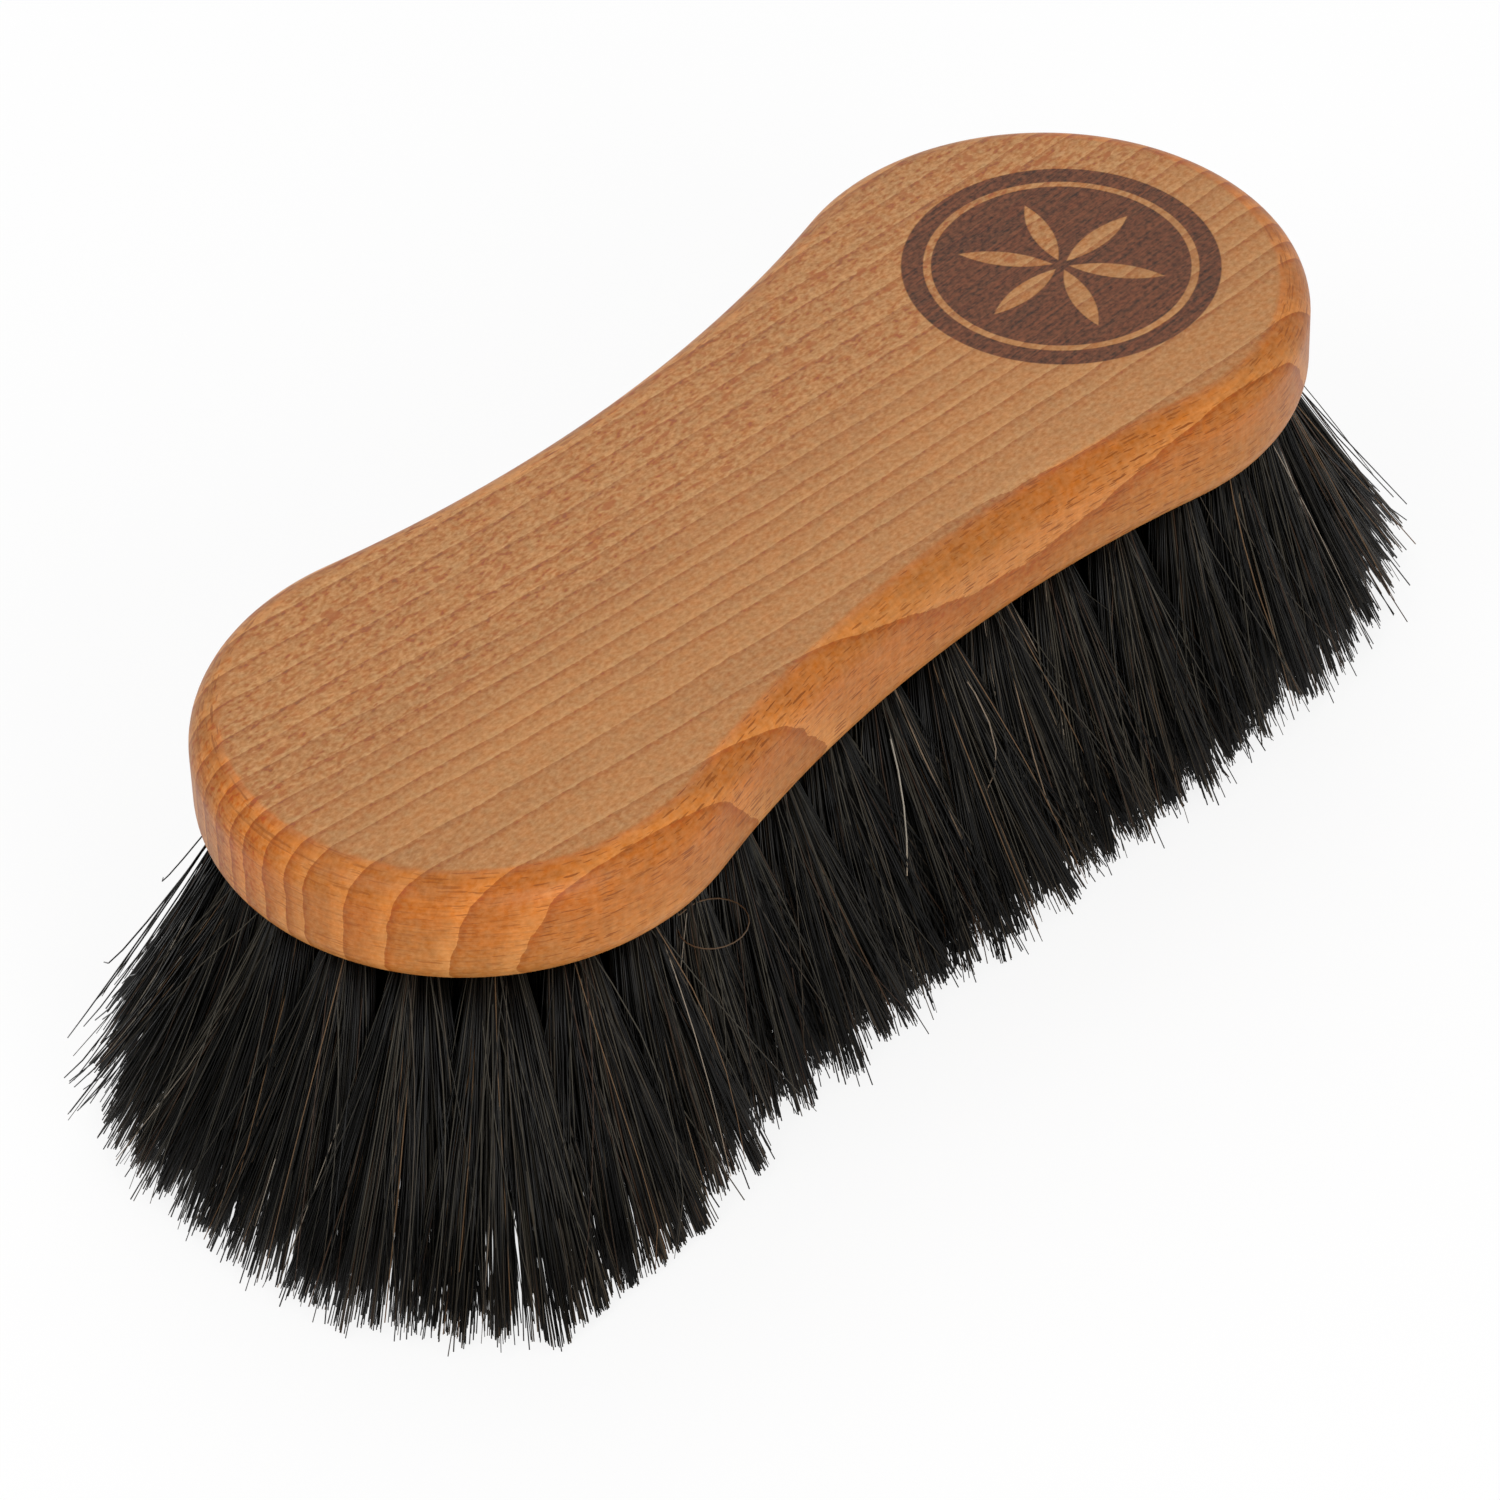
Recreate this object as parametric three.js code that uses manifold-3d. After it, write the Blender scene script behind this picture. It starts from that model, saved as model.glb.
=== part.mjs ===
// A grooming brush for animals: a one-piece beech block with a waist for the hand, drilled
// from below, and tufts of dark horsehair folded over wire staples in the blind holes.
// Millimetres, +Z up, +X along the block. The origin lies under the middle of the block,
// on the plane that the trimmed tips of the hair stand on.
import * as THREE from 'three';
import { mergeVertices } from 'three/addons/utils/BufferGeometryUtils.js';
import Module from 'manifold-3d';

const wasm = await Module();
wasm.setup();

// ---- The block ----
const BLOCK_LENGTH = 200;
const LOBE_WIDTH = 78; // across the round ends
const WAIST_WIDTH = 63; // across the hand's grip
const BLOCK_THICKNESS = 18;
const TOP_ROUND = 5.2; // radius of the upper edge
const FOOT_ROUND = 5; // and of the lower edge
const FOOT_LAYER = 1.6; // the lowest slice of the wood, which the hair is joined to

// ---- The drilling ----
const HOLE_DIAMETER = 6.5;
const EDGE_LAND = 0.3; // flat wood between the lower rounding and the outer holes
const ROW_SPACING = 10.5; // from each row of tufts to the next
const TOP_SKIN = 4.8; // wood above the points of the staples
const CLEARANCE = 0.3; // air round the hair and the staple in the hole
const SLICE_GAP = 0.3; // between the foot slices of two rows

// ---- The staples ----
const WIRE = 0.8; // square wire
const STAPLE_MARGIN = 0.65; // from the staple's side to the wall of the hole
const STAPLE_BITE = 3.2; // how deep the legs stand in the wood
const POINT_LENGTH = 0.9; // the chisel point of a leg
const FOLD_THICKNESS = 1.4; // the hair that goes over the staple's crown

// ---- The hair ----
const HAIR_LENGTH = 44; // from the block down to the tips
const TIP_TRIM = 0.5; // cut off the tips, flat
const STRAND_SIDES = 3;
const STRAND_ROOT_RADIUS = 0.95;
const STRAND_TIP_RADIUS = 0.7;
const STRAND_MARGIN = 0.35; // from a strand to the edge of the hole
const FAN = 2.6; // how many times wider a tuft is at its tips
const WAIST_LEAN = 0.7; // outward lean at the waist, as a share of the distance to the spine
const SIDE_LEAN = 0.33; // at the sides of the lobes
const END_LEAN = 0.66; // and at the ends
const END_TURN = 0.7; // how far an outward normal turns to the end for the full lean

// ---- The rows: steps round a lobe and along a side of the waist ----
const OUTER_ROW = { lobeSteps: 11, waistSteps: 9 };
const SECOND_ROW = { lobeSteps: 6, waistSteps: 8 };
const LOBE_CORE_TUFTS = 4; // round the middle of a lobe
const SPINE_TUFTS = 6; // along the middle of the waist
const OUTER_STRANDS = 5; // in each tuft of the outer row, which shows
const SECOND_STRANDS = 4;
const CENTRE_STRANDS = 3;

// ---- Facets ----
const OUTLINE_FACETS = { lobeSteps: 20, waistSteps: 8 };
const SLICE_FACETS = { lobeSteps: 8, waistSteps: 4 };
const TOP_STEPS = 4;
const FOOT_STEPS = 3;
const HOLE_SIDES = 8;
const FOLD_STEPS = 3;

// ---- Worked out ----
const underside = HAIR_LENGTH;
const top = underside + BLOCK_THICKNESS;
const footTop = underside + FOOT_LAYER;
const lobeRadius = LOBE_WIDTH / 2;
const lobeX = BLOCK_LENGTH / 2 - lobeRadius;
const halfWaist = WAIST_WIDTH / 2;
// the waist is an arc that touches both lobes
const waistRadius = (lobeX ** 2 + halfWaist ** 2 - lobeRadius ** 2) / (2 * (lobeRadius - halfWaist));
const waistY = halfWaist + waistRadius;
const waistSweep = Math.atan2(lobeX, waistY);
const lobeSweep = Math.PI / 2 + waistSweep;

const holeRadius = HOLE_DIAMETER / 2;
const outerInset = FOOT_ROUND + EDGE_LAND + holeRadius;
const secondInset = outerInset + ROW_SPACING;
const coreRadius = (lobeRadius - secondInset) / 2;
const outerSliceInset = outerInset + ROW_SPACING / 2;
const secondSliceInset = lobeRadius - coreRadius - (lobeRadius - secondInset - coreRadius) / 2;

const holeBottom = top - TOP_SKIN - STAPLE_BITE;
const stapleHalfWidth = holeRadius - STAPLE_MARGIN;
const legY = stapleHalfWidth - WIRE / 2;
const foldTop = holeBottom - CLEARANCE;
const crownTop = foldTop - FOLD_THICKNESS - CLEARANCE;
const crownMiddle = crownTop - WIRE / 2;
const windowHalf = WIRE / 2 + CLEARANCE;
const foldHalfDepth = stapleHalfWidth - WIRE - CLEARANCE;
const foldHalfWidth = Math.sqrt((holeRadius - CLEARANCE) ** 2 - foldHalfDepth ** 2);
const strandCircle = holeRadius - STRAND_MARGIN - STRAND_ROOT_RADIUS;

// ---- Solids ----

// a closed geometry as a solid that can be joined and cut
function solid(geometry) {
  const bare = geometry.clone();
  bare.deleteAttribute('normal');
  bare.deleteAttribute('uv');
  const merged = mergeVertices(bare);
  const mesh = new wasm.Mesh({
    numProp: 3,
    vertProperties: new Float32Array(merged.attributes.position.array),
    triVerts: new Uint32Array(merged.index.array),
  });
  return new wasm.Manifold(mesh);
}

function joined(solids) {
  return solids.reduce((whole, piece) => whole.add(piece));
}

// a solid back as a geometry
function geometryOf(manifold) {
  const mesh = manifold.getMesh();
  const geometry = new THREE.BufferGeometry();
  geometry.setAttribute('position', new THREE.BufferAttribute(mesh.vertProperties, 3));
  geometry.setIndex(new THREE.BufferAttribute(mesh.triVerts, 1));
  geometry.computeVertexNormals();
  return geometry;
}

// a skin over rings of points that lie one above the other, closed at both ends
function loft(rings) {
  const count = rings[0].length;
  const index = [];
  for (let level = 0; level < rings.length - 1; level += 1) {
    for (let i = 0; i < count; i += 1) {
      const a = level * count + i;
      const b = level * count + ((i + 1) % count);
      index.push(a, b, b + count, a, b + count, a + count);
    }
  }
  const flat = rings[0].map((point) => new THREE.Vector2(point.x, point.y));
  const last = (rings.length - 1) * count;
  for (const [a, b, c] of THREE.ShapeUtils.triangulateShape(flat, [])) {
    index.push(a, c, b);
    index.push(last + a, last + b, last + c);
  }
  const geometry = new THREE.BufferGeometry().setFromPoints(rings.flat());
  geometry.setIndex(index);
  return geometry;
}

// ---- The outline, anticlockwise from the far lobe ----

function arm(turn, length) {
  return new THREE.Vector2(length * Math.cos(turn), length * Math.sin(turn));
}

// points on the block's outline, moved in by an inset: a lobe and the waist after it, twice
function outline(inset, { lobeSteps, waistSteps }) {
  const lobeMiddle = new THREE.Vector2(lobeX, 0);
  const waistMiddle = new THREE.Vector2(0, waistY);
  const points = [];
  for (const side of [1, -1]) {
    for (let i = 0; i < lobeSteps; i += 1) {
      const turn = lobeSweep * ((2 * i) / lobeSteps - 1);
      points.push(arm(turn, lobeRadius - inset).add(lobeMiddle).multiplyScalar(side));
    }
    for (let i = 0; i < waistSteps; i += 1) {
      const turn = -Math.PI / 2 + waistSweep * (1 - (2 * i) / waistSteps);
      points.push(arm(turn, waistRadius + inset).add(waistMiddle).multiplyScalar(side));
    }
  }
  return points;
}

function ringAt(inset, z, facets) {
  return outline(inset, facets).map((point) => new THREE.Vector3(point.x, point.y, z));
}

// ---- Where the tufts stand ----

// a tuft in the middle of each lobe with others round it, and a line along the waist
function coreTufts() {
  const tufts = [];
  for (const side of [1, -1]) {
    const middle = new THREE.Vector2(side * lobeX, 0);
    tufts.push(middle);
    for (let i = 0; i < LOBE_CORE_TUFTS; i += 1) {
      const turn = (2 * Math.PI * i) / LOBE_CORE_TUFTS;
      tufts.push(arm(turn, side * coreRadius).add(middle));
    }
  }
  const reach = lobeX - coreRadius;
  const pitch = (2 * reach) / SPINE_TUFTS;
  for (let i = 0; i < SPINE_TUFTS; i += 1) {
    tufts.push(new THREE.Vector2(-reach + pitch * (i + 0.5), 0));
  }
  return tufts;
}

const outerTufts = outline(outerInset, OUTER_ROW);
const secondTufts = outline(secondInset, SECOND_ROW);
const centreTufts = coreTufts();

// ---- The hair ----

// how far the tips of a tuft lie outward of its root: away from the block's spine
function lean(root) {
  const spine = new THREE.Vector2(THREE.MathUtils.clamp(root.x, -lobeX, lobeX), 0);
  const away = root.clone().sub(spine);
  const distance = away.length();
  const endwise = distance > 0 ? Math.abs(away.x) / distance : 0;
  const lobeShare = THREE.MathUtils.smoothstep(Math.abs(root.x), 0, lobeX);
  const sideLean = THREE.MathUtils.lerp(WAIST_LEAN, SIDE_LEAN, lobeShare);
  const endShare = THREE.MathUtils.smoothstep(endwise, 0, END_TURN);
  return away.multiplyScalar(THREE.MathUtils.lerp(sideLean, END_LEAN, endShare));
}

// one straight, tapered strand that starts inside the foot slice and runs past the tips' plane
function strand(root, turn) {
  const start = arm(turn, strandCircle).add(root);
  const end = arm(turn, FAN * strandCircle).add(root).add(lean(root));
  const section = (z, radius) => {
    const middle = start.clone().lerp(end, (underside - z) / HAIR_LENGTH);
    const ring = [];
    for (let i = 0; i < STRAND_SIDES; i += 1) {
      const corner = turn + (2 * Math.PI * i) / STRAND_SIDES;
      const x = middle.x + radius * Math.cos(corner);
      const y = middle.y + radius * Math.sin(corner);
      ring.push(new THREE.Vector3(x, y, z));
    }
    return ring;
  };
  return loft([
    section(-TIP_TRIM, STRAND_TIP_RADIUS),
    section(underside + FOOT_LAYER / 2, STRAND_ROOT_RADIUS),
  ]);
}

// the folded end of a tuft in its hole, with the window that the staple's crown goes through
function fold() {
  const profile = new THREE.Shape();
  profile.moveTo(-foldHalfWidth, footTop - FOOT_LAYER / 2);
  profile.lineTo(foldHalfWidth, footTop - FOOT_LAYER / 2);
  for (let i = 0; i <= FOLD_STEPS; i += 1) {
    const turn = (Math.PI * i) / FOLD_STEPS;
    profile.lineTo(foldHalfWidth * Math.cos(turn), foldTop - foldHalfWidth * (1 - Math.sin(turn)));
  }
  const opening = new THREE.Path();
  opening.moveTo(-windowHalf, crownMiddle - windowHalf);
  opening.lineTo(-windowHalf, crownMiddle + windowHalf);
  opening.lineTo(windowHalf, crownMiddle + windowHalf);
  opening.lineTo(windowHalf, crownMiddle - windowHalf);
  profile.holes.push(opening);
  const depth = 2 * foldHalfDepth;
  const geometry = new THREE.ExtrudeGeometry(profile, { depth, bevelEnabled: false });
  return geometry.rotateX(Math.PI / 2).translate(0, depth / 2, 0);
}

// a row of tufts: its slice of the wood's foot, the folds above it and the strands below it
function bristles(slice, tufts, strands) {
  const pieces = [slice];
  for (const root of tufts) {
    pieces.push(solid(fold().translate(root.x, root.y, 0)));
    // the first strand of a tuft lies on its outer side
    const outward = lean(root).angle();
    for (let i = 0; i < strands; i += 1) {
      pieces.push(solid(strand(root, outward + (2 * Math.PI * i) / strands)));
    }
  }
  const trimmings = new THREE.BoxGeometry(2 * BLOCK_LENGTH, 2 * LOBE_WIDTH, 2 * TIP_TRIM);
  trimmings.translate(0, 0, -TIP_TRIM);
  return joined(pieces).subtract(solid(trimmings));
}

// ---- The staple: a crown and two pointed legs, pressed in from below ----

function staple() {
  const crownBottom = crownTop - WIRE;
  const legTip = holeBottom + STAPLE_BITE;
  const inner = stapleHalfWidth - WIRE;
  const profile = new THREE.Shape();
  profile.moveTo(-stapleHalfWidth, crownBottom);
  profile.lineTo(stapleHalfWidth, crownBottom);
  profile.lineTo(stapleHalfWidth, legTip);
  profile.lineTo(inner, legTip - POINT_LENGTH);
  profile.lineTo(inner, crownTop);
  profile.lineTo(-inner, crownTop);
  profile.lineTo(-inner, legTip - POINT_LENGTH);
  profile.lineTo(-stapleHalfWidth, legTip);
  const geometry = new THREE.ExtrudeGeometry(profile, { depth: WIRE, bevelEnabled: false });
  geometry.translate(0, 0, -WIRE / 2);
  // the profile's plane becomes YZ, its thickness lies along X
  const turn = new THREE.Matrix4().makeBasis(
    new THREE.Vector3(0, 1, 0),
    new THREE.Vector3(0, 0, 1),
    new THREE.Vector3(1, 0, 0),
  );
  return geometry.applyMatrix4(turn);
}

// ---- The wood ----

// the whole block with its rounded edges, before it is drilled
function blockForm() {
  const rings = [];
  for (let i = 0; i <= FOOT_STEPS; i += 1) {
    const turn = (Math.PI / 2) * (1 - i / FOOT_STEPS);
    const inset = FOOT_ROUND * (1 - Math.cos(turn));
    rings.push(ringAt(inset, underside + FOOT_ROUND * (1 - Math.sin(turn)), OUTLINE_FACETS));
  }
  for (let i = 0; i <= TOP_STEPS; i += 1) {
    const turn = (Math.PI / 2) * (i / TOP_STEPS);
    const inset = TOP_ROUND * (1 - Math.cos(turn));
    rings.push(ringAt(inset, top - TOP_ROUND * (1 - Math.sin(turn)), OUTLINE_FACETS));
  }
  return solid(loft(rings));
}

// a slab wider than the block, up to the top of its foot layer
function footSlab() {
  const geometry = new THREE.BoxGeometry(2 * BLOCK_LENGTH, 2 * LOBE_WIDTH, 2 * FOOT_LAYER);
  return solid(geometry.translate(0, 0, underside));
}

// a plate of the outline's shape that reaches through the foot layer from below
function footPlate(inset) {
  return solid(loft([
    ringAt(inset, underside - FOOT_LAYER, SLICE_FACETS),
    ringAt(inset, footTop, SLICE_FACETS),
  ]));
}

// a blind hole, from below the block up to its bottom
function hole(root) {
  const drill = holeRadius / Math.cos(Math.PI / HOLE_SIDES);
  const depth = holeBottom - underside;
  const geometry = new THREE.CylinderGeometry(drill, drill, depth, HOLE_SIDES);
  geometry.rotateX(Math.PI / 2).rotateZ(Math.PI / HOLE_SIDES);
  return solid(geometry.translate(root.x, root.y, underside + depth / 2));
}

// what a leg of the staple makes in the wood above the hole
function legHole(root, side) {
  const width = WIRE + 2 * CLEARANCE;
  const depth = STAPLE_BITE + CLEARANCE;
  const geometry = new THREE.BoxGeometry(width, width, 2 * depth);
  return solid(geometry.translate(root.x, root.y + side * legY, holeBottom));
}

// the drilled wood above the foot layer; the second row's staples are one with it
function block() {
  const loose = [...outerTufts, ...centreTufts];
  const cuts = [footSlab()];
  for (const root of [...loose, ...secondTufts]) {
    cuts.push(hole(root));
  }
  for (const root of loose) {
    cuts.push(legHole(root, 1), legHole(root, -1));
  }
  const fixed = secondTufts.map((root) => solid(staple().translate(root.x, root.y, 0)));
  return blockForm().subtract(joined(cuts)).add(joined(fixed));
}

// ---- The brush ----

const beech = new THREE.MeshStandardMaterial({ color: 0xc18a56, roughness: 0.45, metalness: 0 });
const horsehair = new THREE.MeshStandardMaterial({ color: 0x1f1c1a, roughness: 0.5, metalness: 0 });
const steelWire = new THREE.MeshStandardMaterial({ color: 0xb4b6b8, roughness: 0.35, metalness: 1 });

const brush = new THREE.Group();

function addPiece(name, geometry, material) {
  const mesh = new THREE.Mesh(geometry, material);
  mesh.name = name;
  brush.add(mesh);
  return mesh;
}

const footLayer = blockForm().intersect(footSlab());
const halfGap = SLICE_GAP / 2;
const outerSlice = footLayer.subtract(footPlate(outerSliceInset - halfGap));
const secondSlice = footLayer.intersect(footPlate(outerSliceInset + halfGap))
  .subtract(footPlate(secondSliceInset - halfGap));
const centreSlice = footLayer.intersect(footPlate(secondSliceInset + halfGap));

addPiece('block', geometryOf(block()), beech);

function addBristles(name, slice, tufts, strands) {
  addPiece(name, geometryOf(bristles(slice, tufts, strands)), horsehair);
}

addBristles('outer_row_bristles', outerSlice, outerTufts, OUTER_STRANDS);
addBristles('second_row_bristles', secondSlice, secondTufts, SECOND_STRANDS);
addBristles('centre_bristles', centreSlice, centreTufts, CENTRE_STRANDS);

function addStaples(row, tufts) {
  tufts.forEach((root, i) => {
    const name = `${row}_staple_${String(i + 1).padStart(2, '0')}`;
    addPiece(name, staple(), steelWire).position.set(root.x, root.y, 0);
  });
}

addStaples('outer', outerTufts);
addStaples('centre', centreTufts);

export default brush;
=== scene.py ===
"""Looks of a waisted body brush: a beech block with a burnt round mark, and staple-set horsehair tufts."""

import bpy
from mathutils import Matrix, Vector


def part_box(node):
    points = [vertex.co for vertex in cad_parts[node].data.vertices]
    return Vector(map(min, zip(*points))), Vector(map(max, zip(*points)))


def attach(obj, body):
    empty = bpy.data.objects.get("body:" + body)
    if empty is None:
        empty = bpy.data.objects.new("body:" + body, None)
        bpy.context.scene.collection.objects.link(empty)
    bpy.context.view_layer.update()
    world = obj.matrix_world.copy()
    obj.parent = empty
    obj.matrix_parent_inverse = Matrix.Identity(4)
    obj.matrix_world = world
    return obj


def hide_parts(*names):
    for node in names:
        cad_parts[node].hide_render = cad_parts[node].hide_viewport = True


bl_info = {
    "name": "Body Brush",
    "version": (1, 0, 0),
    "blender": (4, 5, 0),
    "location": "3D View > Sidebar > Body Brush",
    "description": "Beech block, stapled horsehair tufts and a plain pale stage",
    "category": "Object",
}

import math
from functools import partial

import bmesh
import bpy
import numpy as np
from bpy.props import FloatProperty, FloatVectorProperty, IntProperty, PointerProperty
from mathutils import Matrix, Vector

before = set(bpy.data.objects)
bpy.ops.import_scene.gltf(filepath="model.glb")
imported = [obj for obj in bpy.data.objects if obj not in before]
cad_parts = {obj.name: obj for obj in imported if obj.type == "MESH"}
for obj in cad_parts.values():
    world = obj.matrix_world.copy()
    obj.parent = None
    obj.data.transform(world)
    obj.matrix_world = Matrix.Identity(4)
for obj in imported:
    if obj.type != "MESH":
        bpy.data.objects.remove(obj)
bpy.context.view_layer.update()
BLOCK_LOW, BLOCK_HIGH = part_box("block")
HAIR_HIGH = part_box("outer_row_bristles")[1]

MM = 0.001
SEED = 11
UP = Vector((0, 0, 1))

# The rows of tufts, by the number of steps round a lobe and along a waist.
OUTER_ROW = (11, 9)
SECOND_ROW = (6, 8)
LOBE_CORE_TUFTS = 4
SPINE_TUFTS = 6

# How far the hair leans out, as a share of its tuft's distance to the spine.
WAIST_LEAN, LOBE_LEAN, END_LEAN = 0.7, 0.33, 0.66

# How much further than the rest each tuft of the outer row leans out, in millimetres: use has bent them
# unevenly.
OUTER_REACH = (1.5, 0.5, -4, -3, 0.5, -2, -2, 0.5, 1, -0.5, 0, 1, 0.5, -1, 0, 1, -0.5, 0, 1.5, 0,
               0.5, -2, -4.5, -0.5, 2, 2, 3, 6.5, 8.5, 5.5, 2.5, -2, 1, 2, 1, 1, 3.5, 1, 3.5, 4)

# The hairs of a tuft: the locks that they gather in, and the shares of them that cross the others, that stand
# out beyond them and that are short.
LOCKS = 34
CROSSING, WILD, SHORT = 0.11, 0.033, 0.08

# How far down and how far out a hair has come at its last three points: it leaves the wood a little steeper
# than it ends. Then its thickness at its four points.
HAIR_COURSE = ((0.3, 0.26), (0.64, 0.6), (1.0, 1.0))
HAIR_TAPER = (1.0, 1.0, 0.96, 0.8)

# Single hairs over the outer row: how many grow in each tuft, and how often they have which shade.
LOOSE_IN_TUFT = 9
LOOSE_SHADES = (0.7, 0.78, 0.84, 0.88, 0.93, 0.97)
LOOSE_ODDS = (0.33, 0.32, 0.15, 0.1, 0.07, 0.03)

# Wisps of a few hairs that stray from the tufts at the ends, and long pale hairs that lie over them: the tuft
# that each grows in, how many hairs, their shade, and the middle and the tip of each in millimetres.
STRAY = (
    (22, 1, 0.2, (-100.4, 26.4, 33), (-103.6, 32.6, 24)),
    (22, 2, 0.1, (-101.6, 25.2, 32), (-110, 32.8, 17)),
    (22, 1, 0.2, (-100.9, 25.8, 32), (-106.8, 32, 19)),
    (22, 1, 0.3, (-91.7, 27.5, 38), (-93.2, 30.3, 34)),
    (22, 2, 0.1, (-98.4, 25, 31), (-101.3, 30.1, 21)),
    (23, 2, 0.3, (-100.8, 25.8, 27), (-104.2, 32.3, 14)),
    (23, 2, 0.2, (-100.1, 25.6, 28), (-103, 31.3, 16)),
    (23, 2, 0.1, (-103.6, 26.9, 23), (-112.7, 32.7, 8)),
    (23, 2, 0.3, (-103.4, 25.1, 22), (-112.5, 31.9, 7)),
    (24, 2, 0.2, (-105.4, 23.2, 21), (-115.3, 29.5, 5)),
    (24, 2, 0.1, (-105.8, 21.2, 21), (-113.9, 28.7, 4)),
    (24, 2, 0.3, (-104.6, 24.7, 20), (-110.6, 33.4, 3)),
    (3, 1, 0.4, (93, -28.5, 24), (105, -35.5, 7)),
    (4, 2, 0.5, (99.5, -20, 23), (110.5, -26, 5)),
    (5, 1, 0.3, (101, -8, 25), (114, -10, 8)),
    (35, 1, 1.0, (-8.3, -30.9, 30.8), (-13.2, -36.6, 17.5)),
    (27, 1, 0.94, (-99.9, -20.4, 26), (-105.8, -24.4, 15)),
    (25, 1, 0.94, (-103, 0.6, 23.5), (-107.2, -1, 16)),
    (36, 1, 0.96, (9.4, -32.8, 29), (5.3, -35.6, 20)),
    (37, 1, 0.95, (15.4, -36.2, 20), (16.4, -40, 9.5)),
    (28, 1, 0.93, (-101, -30, 17), (-104.5, -35.5, 7)),
)

# The hair that has curled round in front of its tuft: the tuft, its shade, the loop's middle and half size in
# millimetres, how many points the hair has and how many of them lead to the loop, and the turn of the first
# point and from one to the next in degrees.
CURL_TUFT, CURL_SHADE = 31, 0.91
CURL_MIDDLE, CURL_SIZE = Vector((-55.1, -37.9, 39.0)), (5.1, 4.7)
CURL_POINTS, CURL_RUN_IN = 26, 6
CURL_START, CURL_STEP = 205, -17

# The edges of the growth rings, in millimetres across the log, from the far side to the near one.
RING_EDGES = (62, 55.5, 50, 44.5, 40, 34.5, 29.5, 25.5, 20.3, 15.1, 8.9, 4.9, 0.8, -3.4, -6.4, -10.7, -14.9,
              -18.2, -24.6, -30.4, -38, -44.2, -52, -60)

# How the colour fades after a ring's dark edge: centimetres past the edge and the share of the dark line.
RING_LINE = ((0.0, 0.8), (0.02, 1.0), (0.045, 0.78), (0.08, 0.42), (0.12, 0.16), (0.3, 0.0))

# The noises in the wood: how often they change in a millimetre along, across and up the block, their turn in
# degrees, their detail and their roughness.
WOOD_NOISES = {
    "slow": ((0.012, 0.035, 0.035), 0, 1, 0.5),  # bends over about 30 mm
    "small": ((0.09, 0.3, 0.3), 0, 2, 0.5),  # bends over about 4 mm
    "grain": ((1, 1.55, 1.55), 6, 3, 0.6),  # short paler and darker fibres
    "fibre": ((0.08, 3.2, 3.2), 0, 3, 0.6),  # fibre 0.3 mm wide and about 12 mm long
    "cloud": ((0.03, 0.09, 0.09), 0, 2, 0.5),  # clouds over centimetres
    "spots": ((0.8, 0.8, 0.8), 0, 1, 0.5),  # spots over about 1 mm
    "streak": ((0.5, 1.35, 1.35), 5, 1, 0.5),  # short dark streaks
    "ripple": ((1.5, 0.4, 0.3), 0, 1, 0.5),  # fine ripples across the sides
    # The level lines are painted sheen: the glints of the sides' cut fibre put into the colour.
    "lines": ((0.3, 0.12, 3.2), 0, 2, 0.5),  # level lines along the sides
    "wander": ((0.5, 0.8, 0.8), 0, 2, 0.5),  # how the rays stray from flat sheets
}

# The bends of the rings: each noise and its size in millimetres. The grain leaves their edges a bit ragged.
RING_BENDS = (("slow", 1.2), ("small", 1.1), ("grain", 0.14))

# What the sides' tint multiplies the wood's colour by, partly for the oil that they take and partly painted
# shade, and what the grain, the ruddy spots and the streaks add to it, in linear light.
OIL_AND_SHADE_TINT = (1.075, 0.82, 0.56, 1)
GRAIN_LIGHT = (0.043, 0.033, 0.018)
RUDDY_LIGHT = (0.08, -0.012, -0.02)
STREAK_LIGHT = (0.062, 0.063, 0.033)

# The rays: how far they stray from their sheets, and two sizes of fleck, each by the cell that holds one in
# millimetres, the share of the cells that stay empty and how strongly a fleck shows.
RAY_WANDER = (2.4, 1.5, 0.7)
RAY_FLECKS = (((4.2, 12, 0.85), 0.3, 0.9), ((2.6, 9, 0.55), 0.2, 0.75))

# The black part of the hair's shades: the place of each stop, and how much lighter than black it is. The
# lightest stops are partly the hairs' own tone and partly painted highlight, glints put into the colour.
BLACK_SHADES_AND_HIGHLIGHTS = ((0.0, 0.22), (0.4, 0.42), (0.58, 1.1), (0.7, 3.5), (0.82, 9.5))

# A broad lamp over the far side, one over the near left and a fill beside the camera: azimuth and elevation
# in degrees, distance and width in metres, and watts.
LAMPS = (("far_lamp", 140, 48, 1.3, 1.2, 7), ("left_lamp", -95, 45, 1.3, 0.9, 5),
         ("front_lamp", -20, 22, 1.5, 1.0, 12))
LAMP_TARGET = Vector((0, 0, 0.04))

# The camera, fitted to the block's outline in the photograph: azimuth, elevation and roll in degrees, its
# distance in metres, the place that it looks at in millimetres, and its lens for a sensor 36 mm wide.
CAMERA_AZIMUTH, CAMERA_ELEVATION, CAMERA_ROLL = -47.5104, 41.4857, -1.6866
CAMERA_DISTANCE = 1.009567
CAMERA_TARGET = Vector((-6.0713, -0.6732, 16))
CAMERA_LENS = 167.4075

# Settings that several nodes share.
SMOOTH = {"interpolation_type": "SMOOTHSTEP"}
COLOUR = {"data_type": "RGBA"}


def linear(code):
    """An sRGB hex colour as linear red, green, blue and full alpha."""
    parts = [int(code[i:i + 2], 16) / 255 for i in (0, 2, 4)]
    return [p / 12.92 if p <= 0.04045 else ((p + 0.055) / 1.055) ** 2.4 for p in parts] + [1.0]


def length_value(name, millimetres, description):
    """A length that a user may change, kept in metres."""
    return FloatProperty(name=name, description=description, default=millimetres * MM,
                         min=0.01 * MM, unit="LENGTH", precision=4)


def colour_value(name, code, description):
    """A colour that a user may change, kept as linear light."""
    return FloatVectorProperty(name=name, description=description, default=linear(code),
                               min=0, max=1, size=4, subtype="COLOR")


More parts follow.
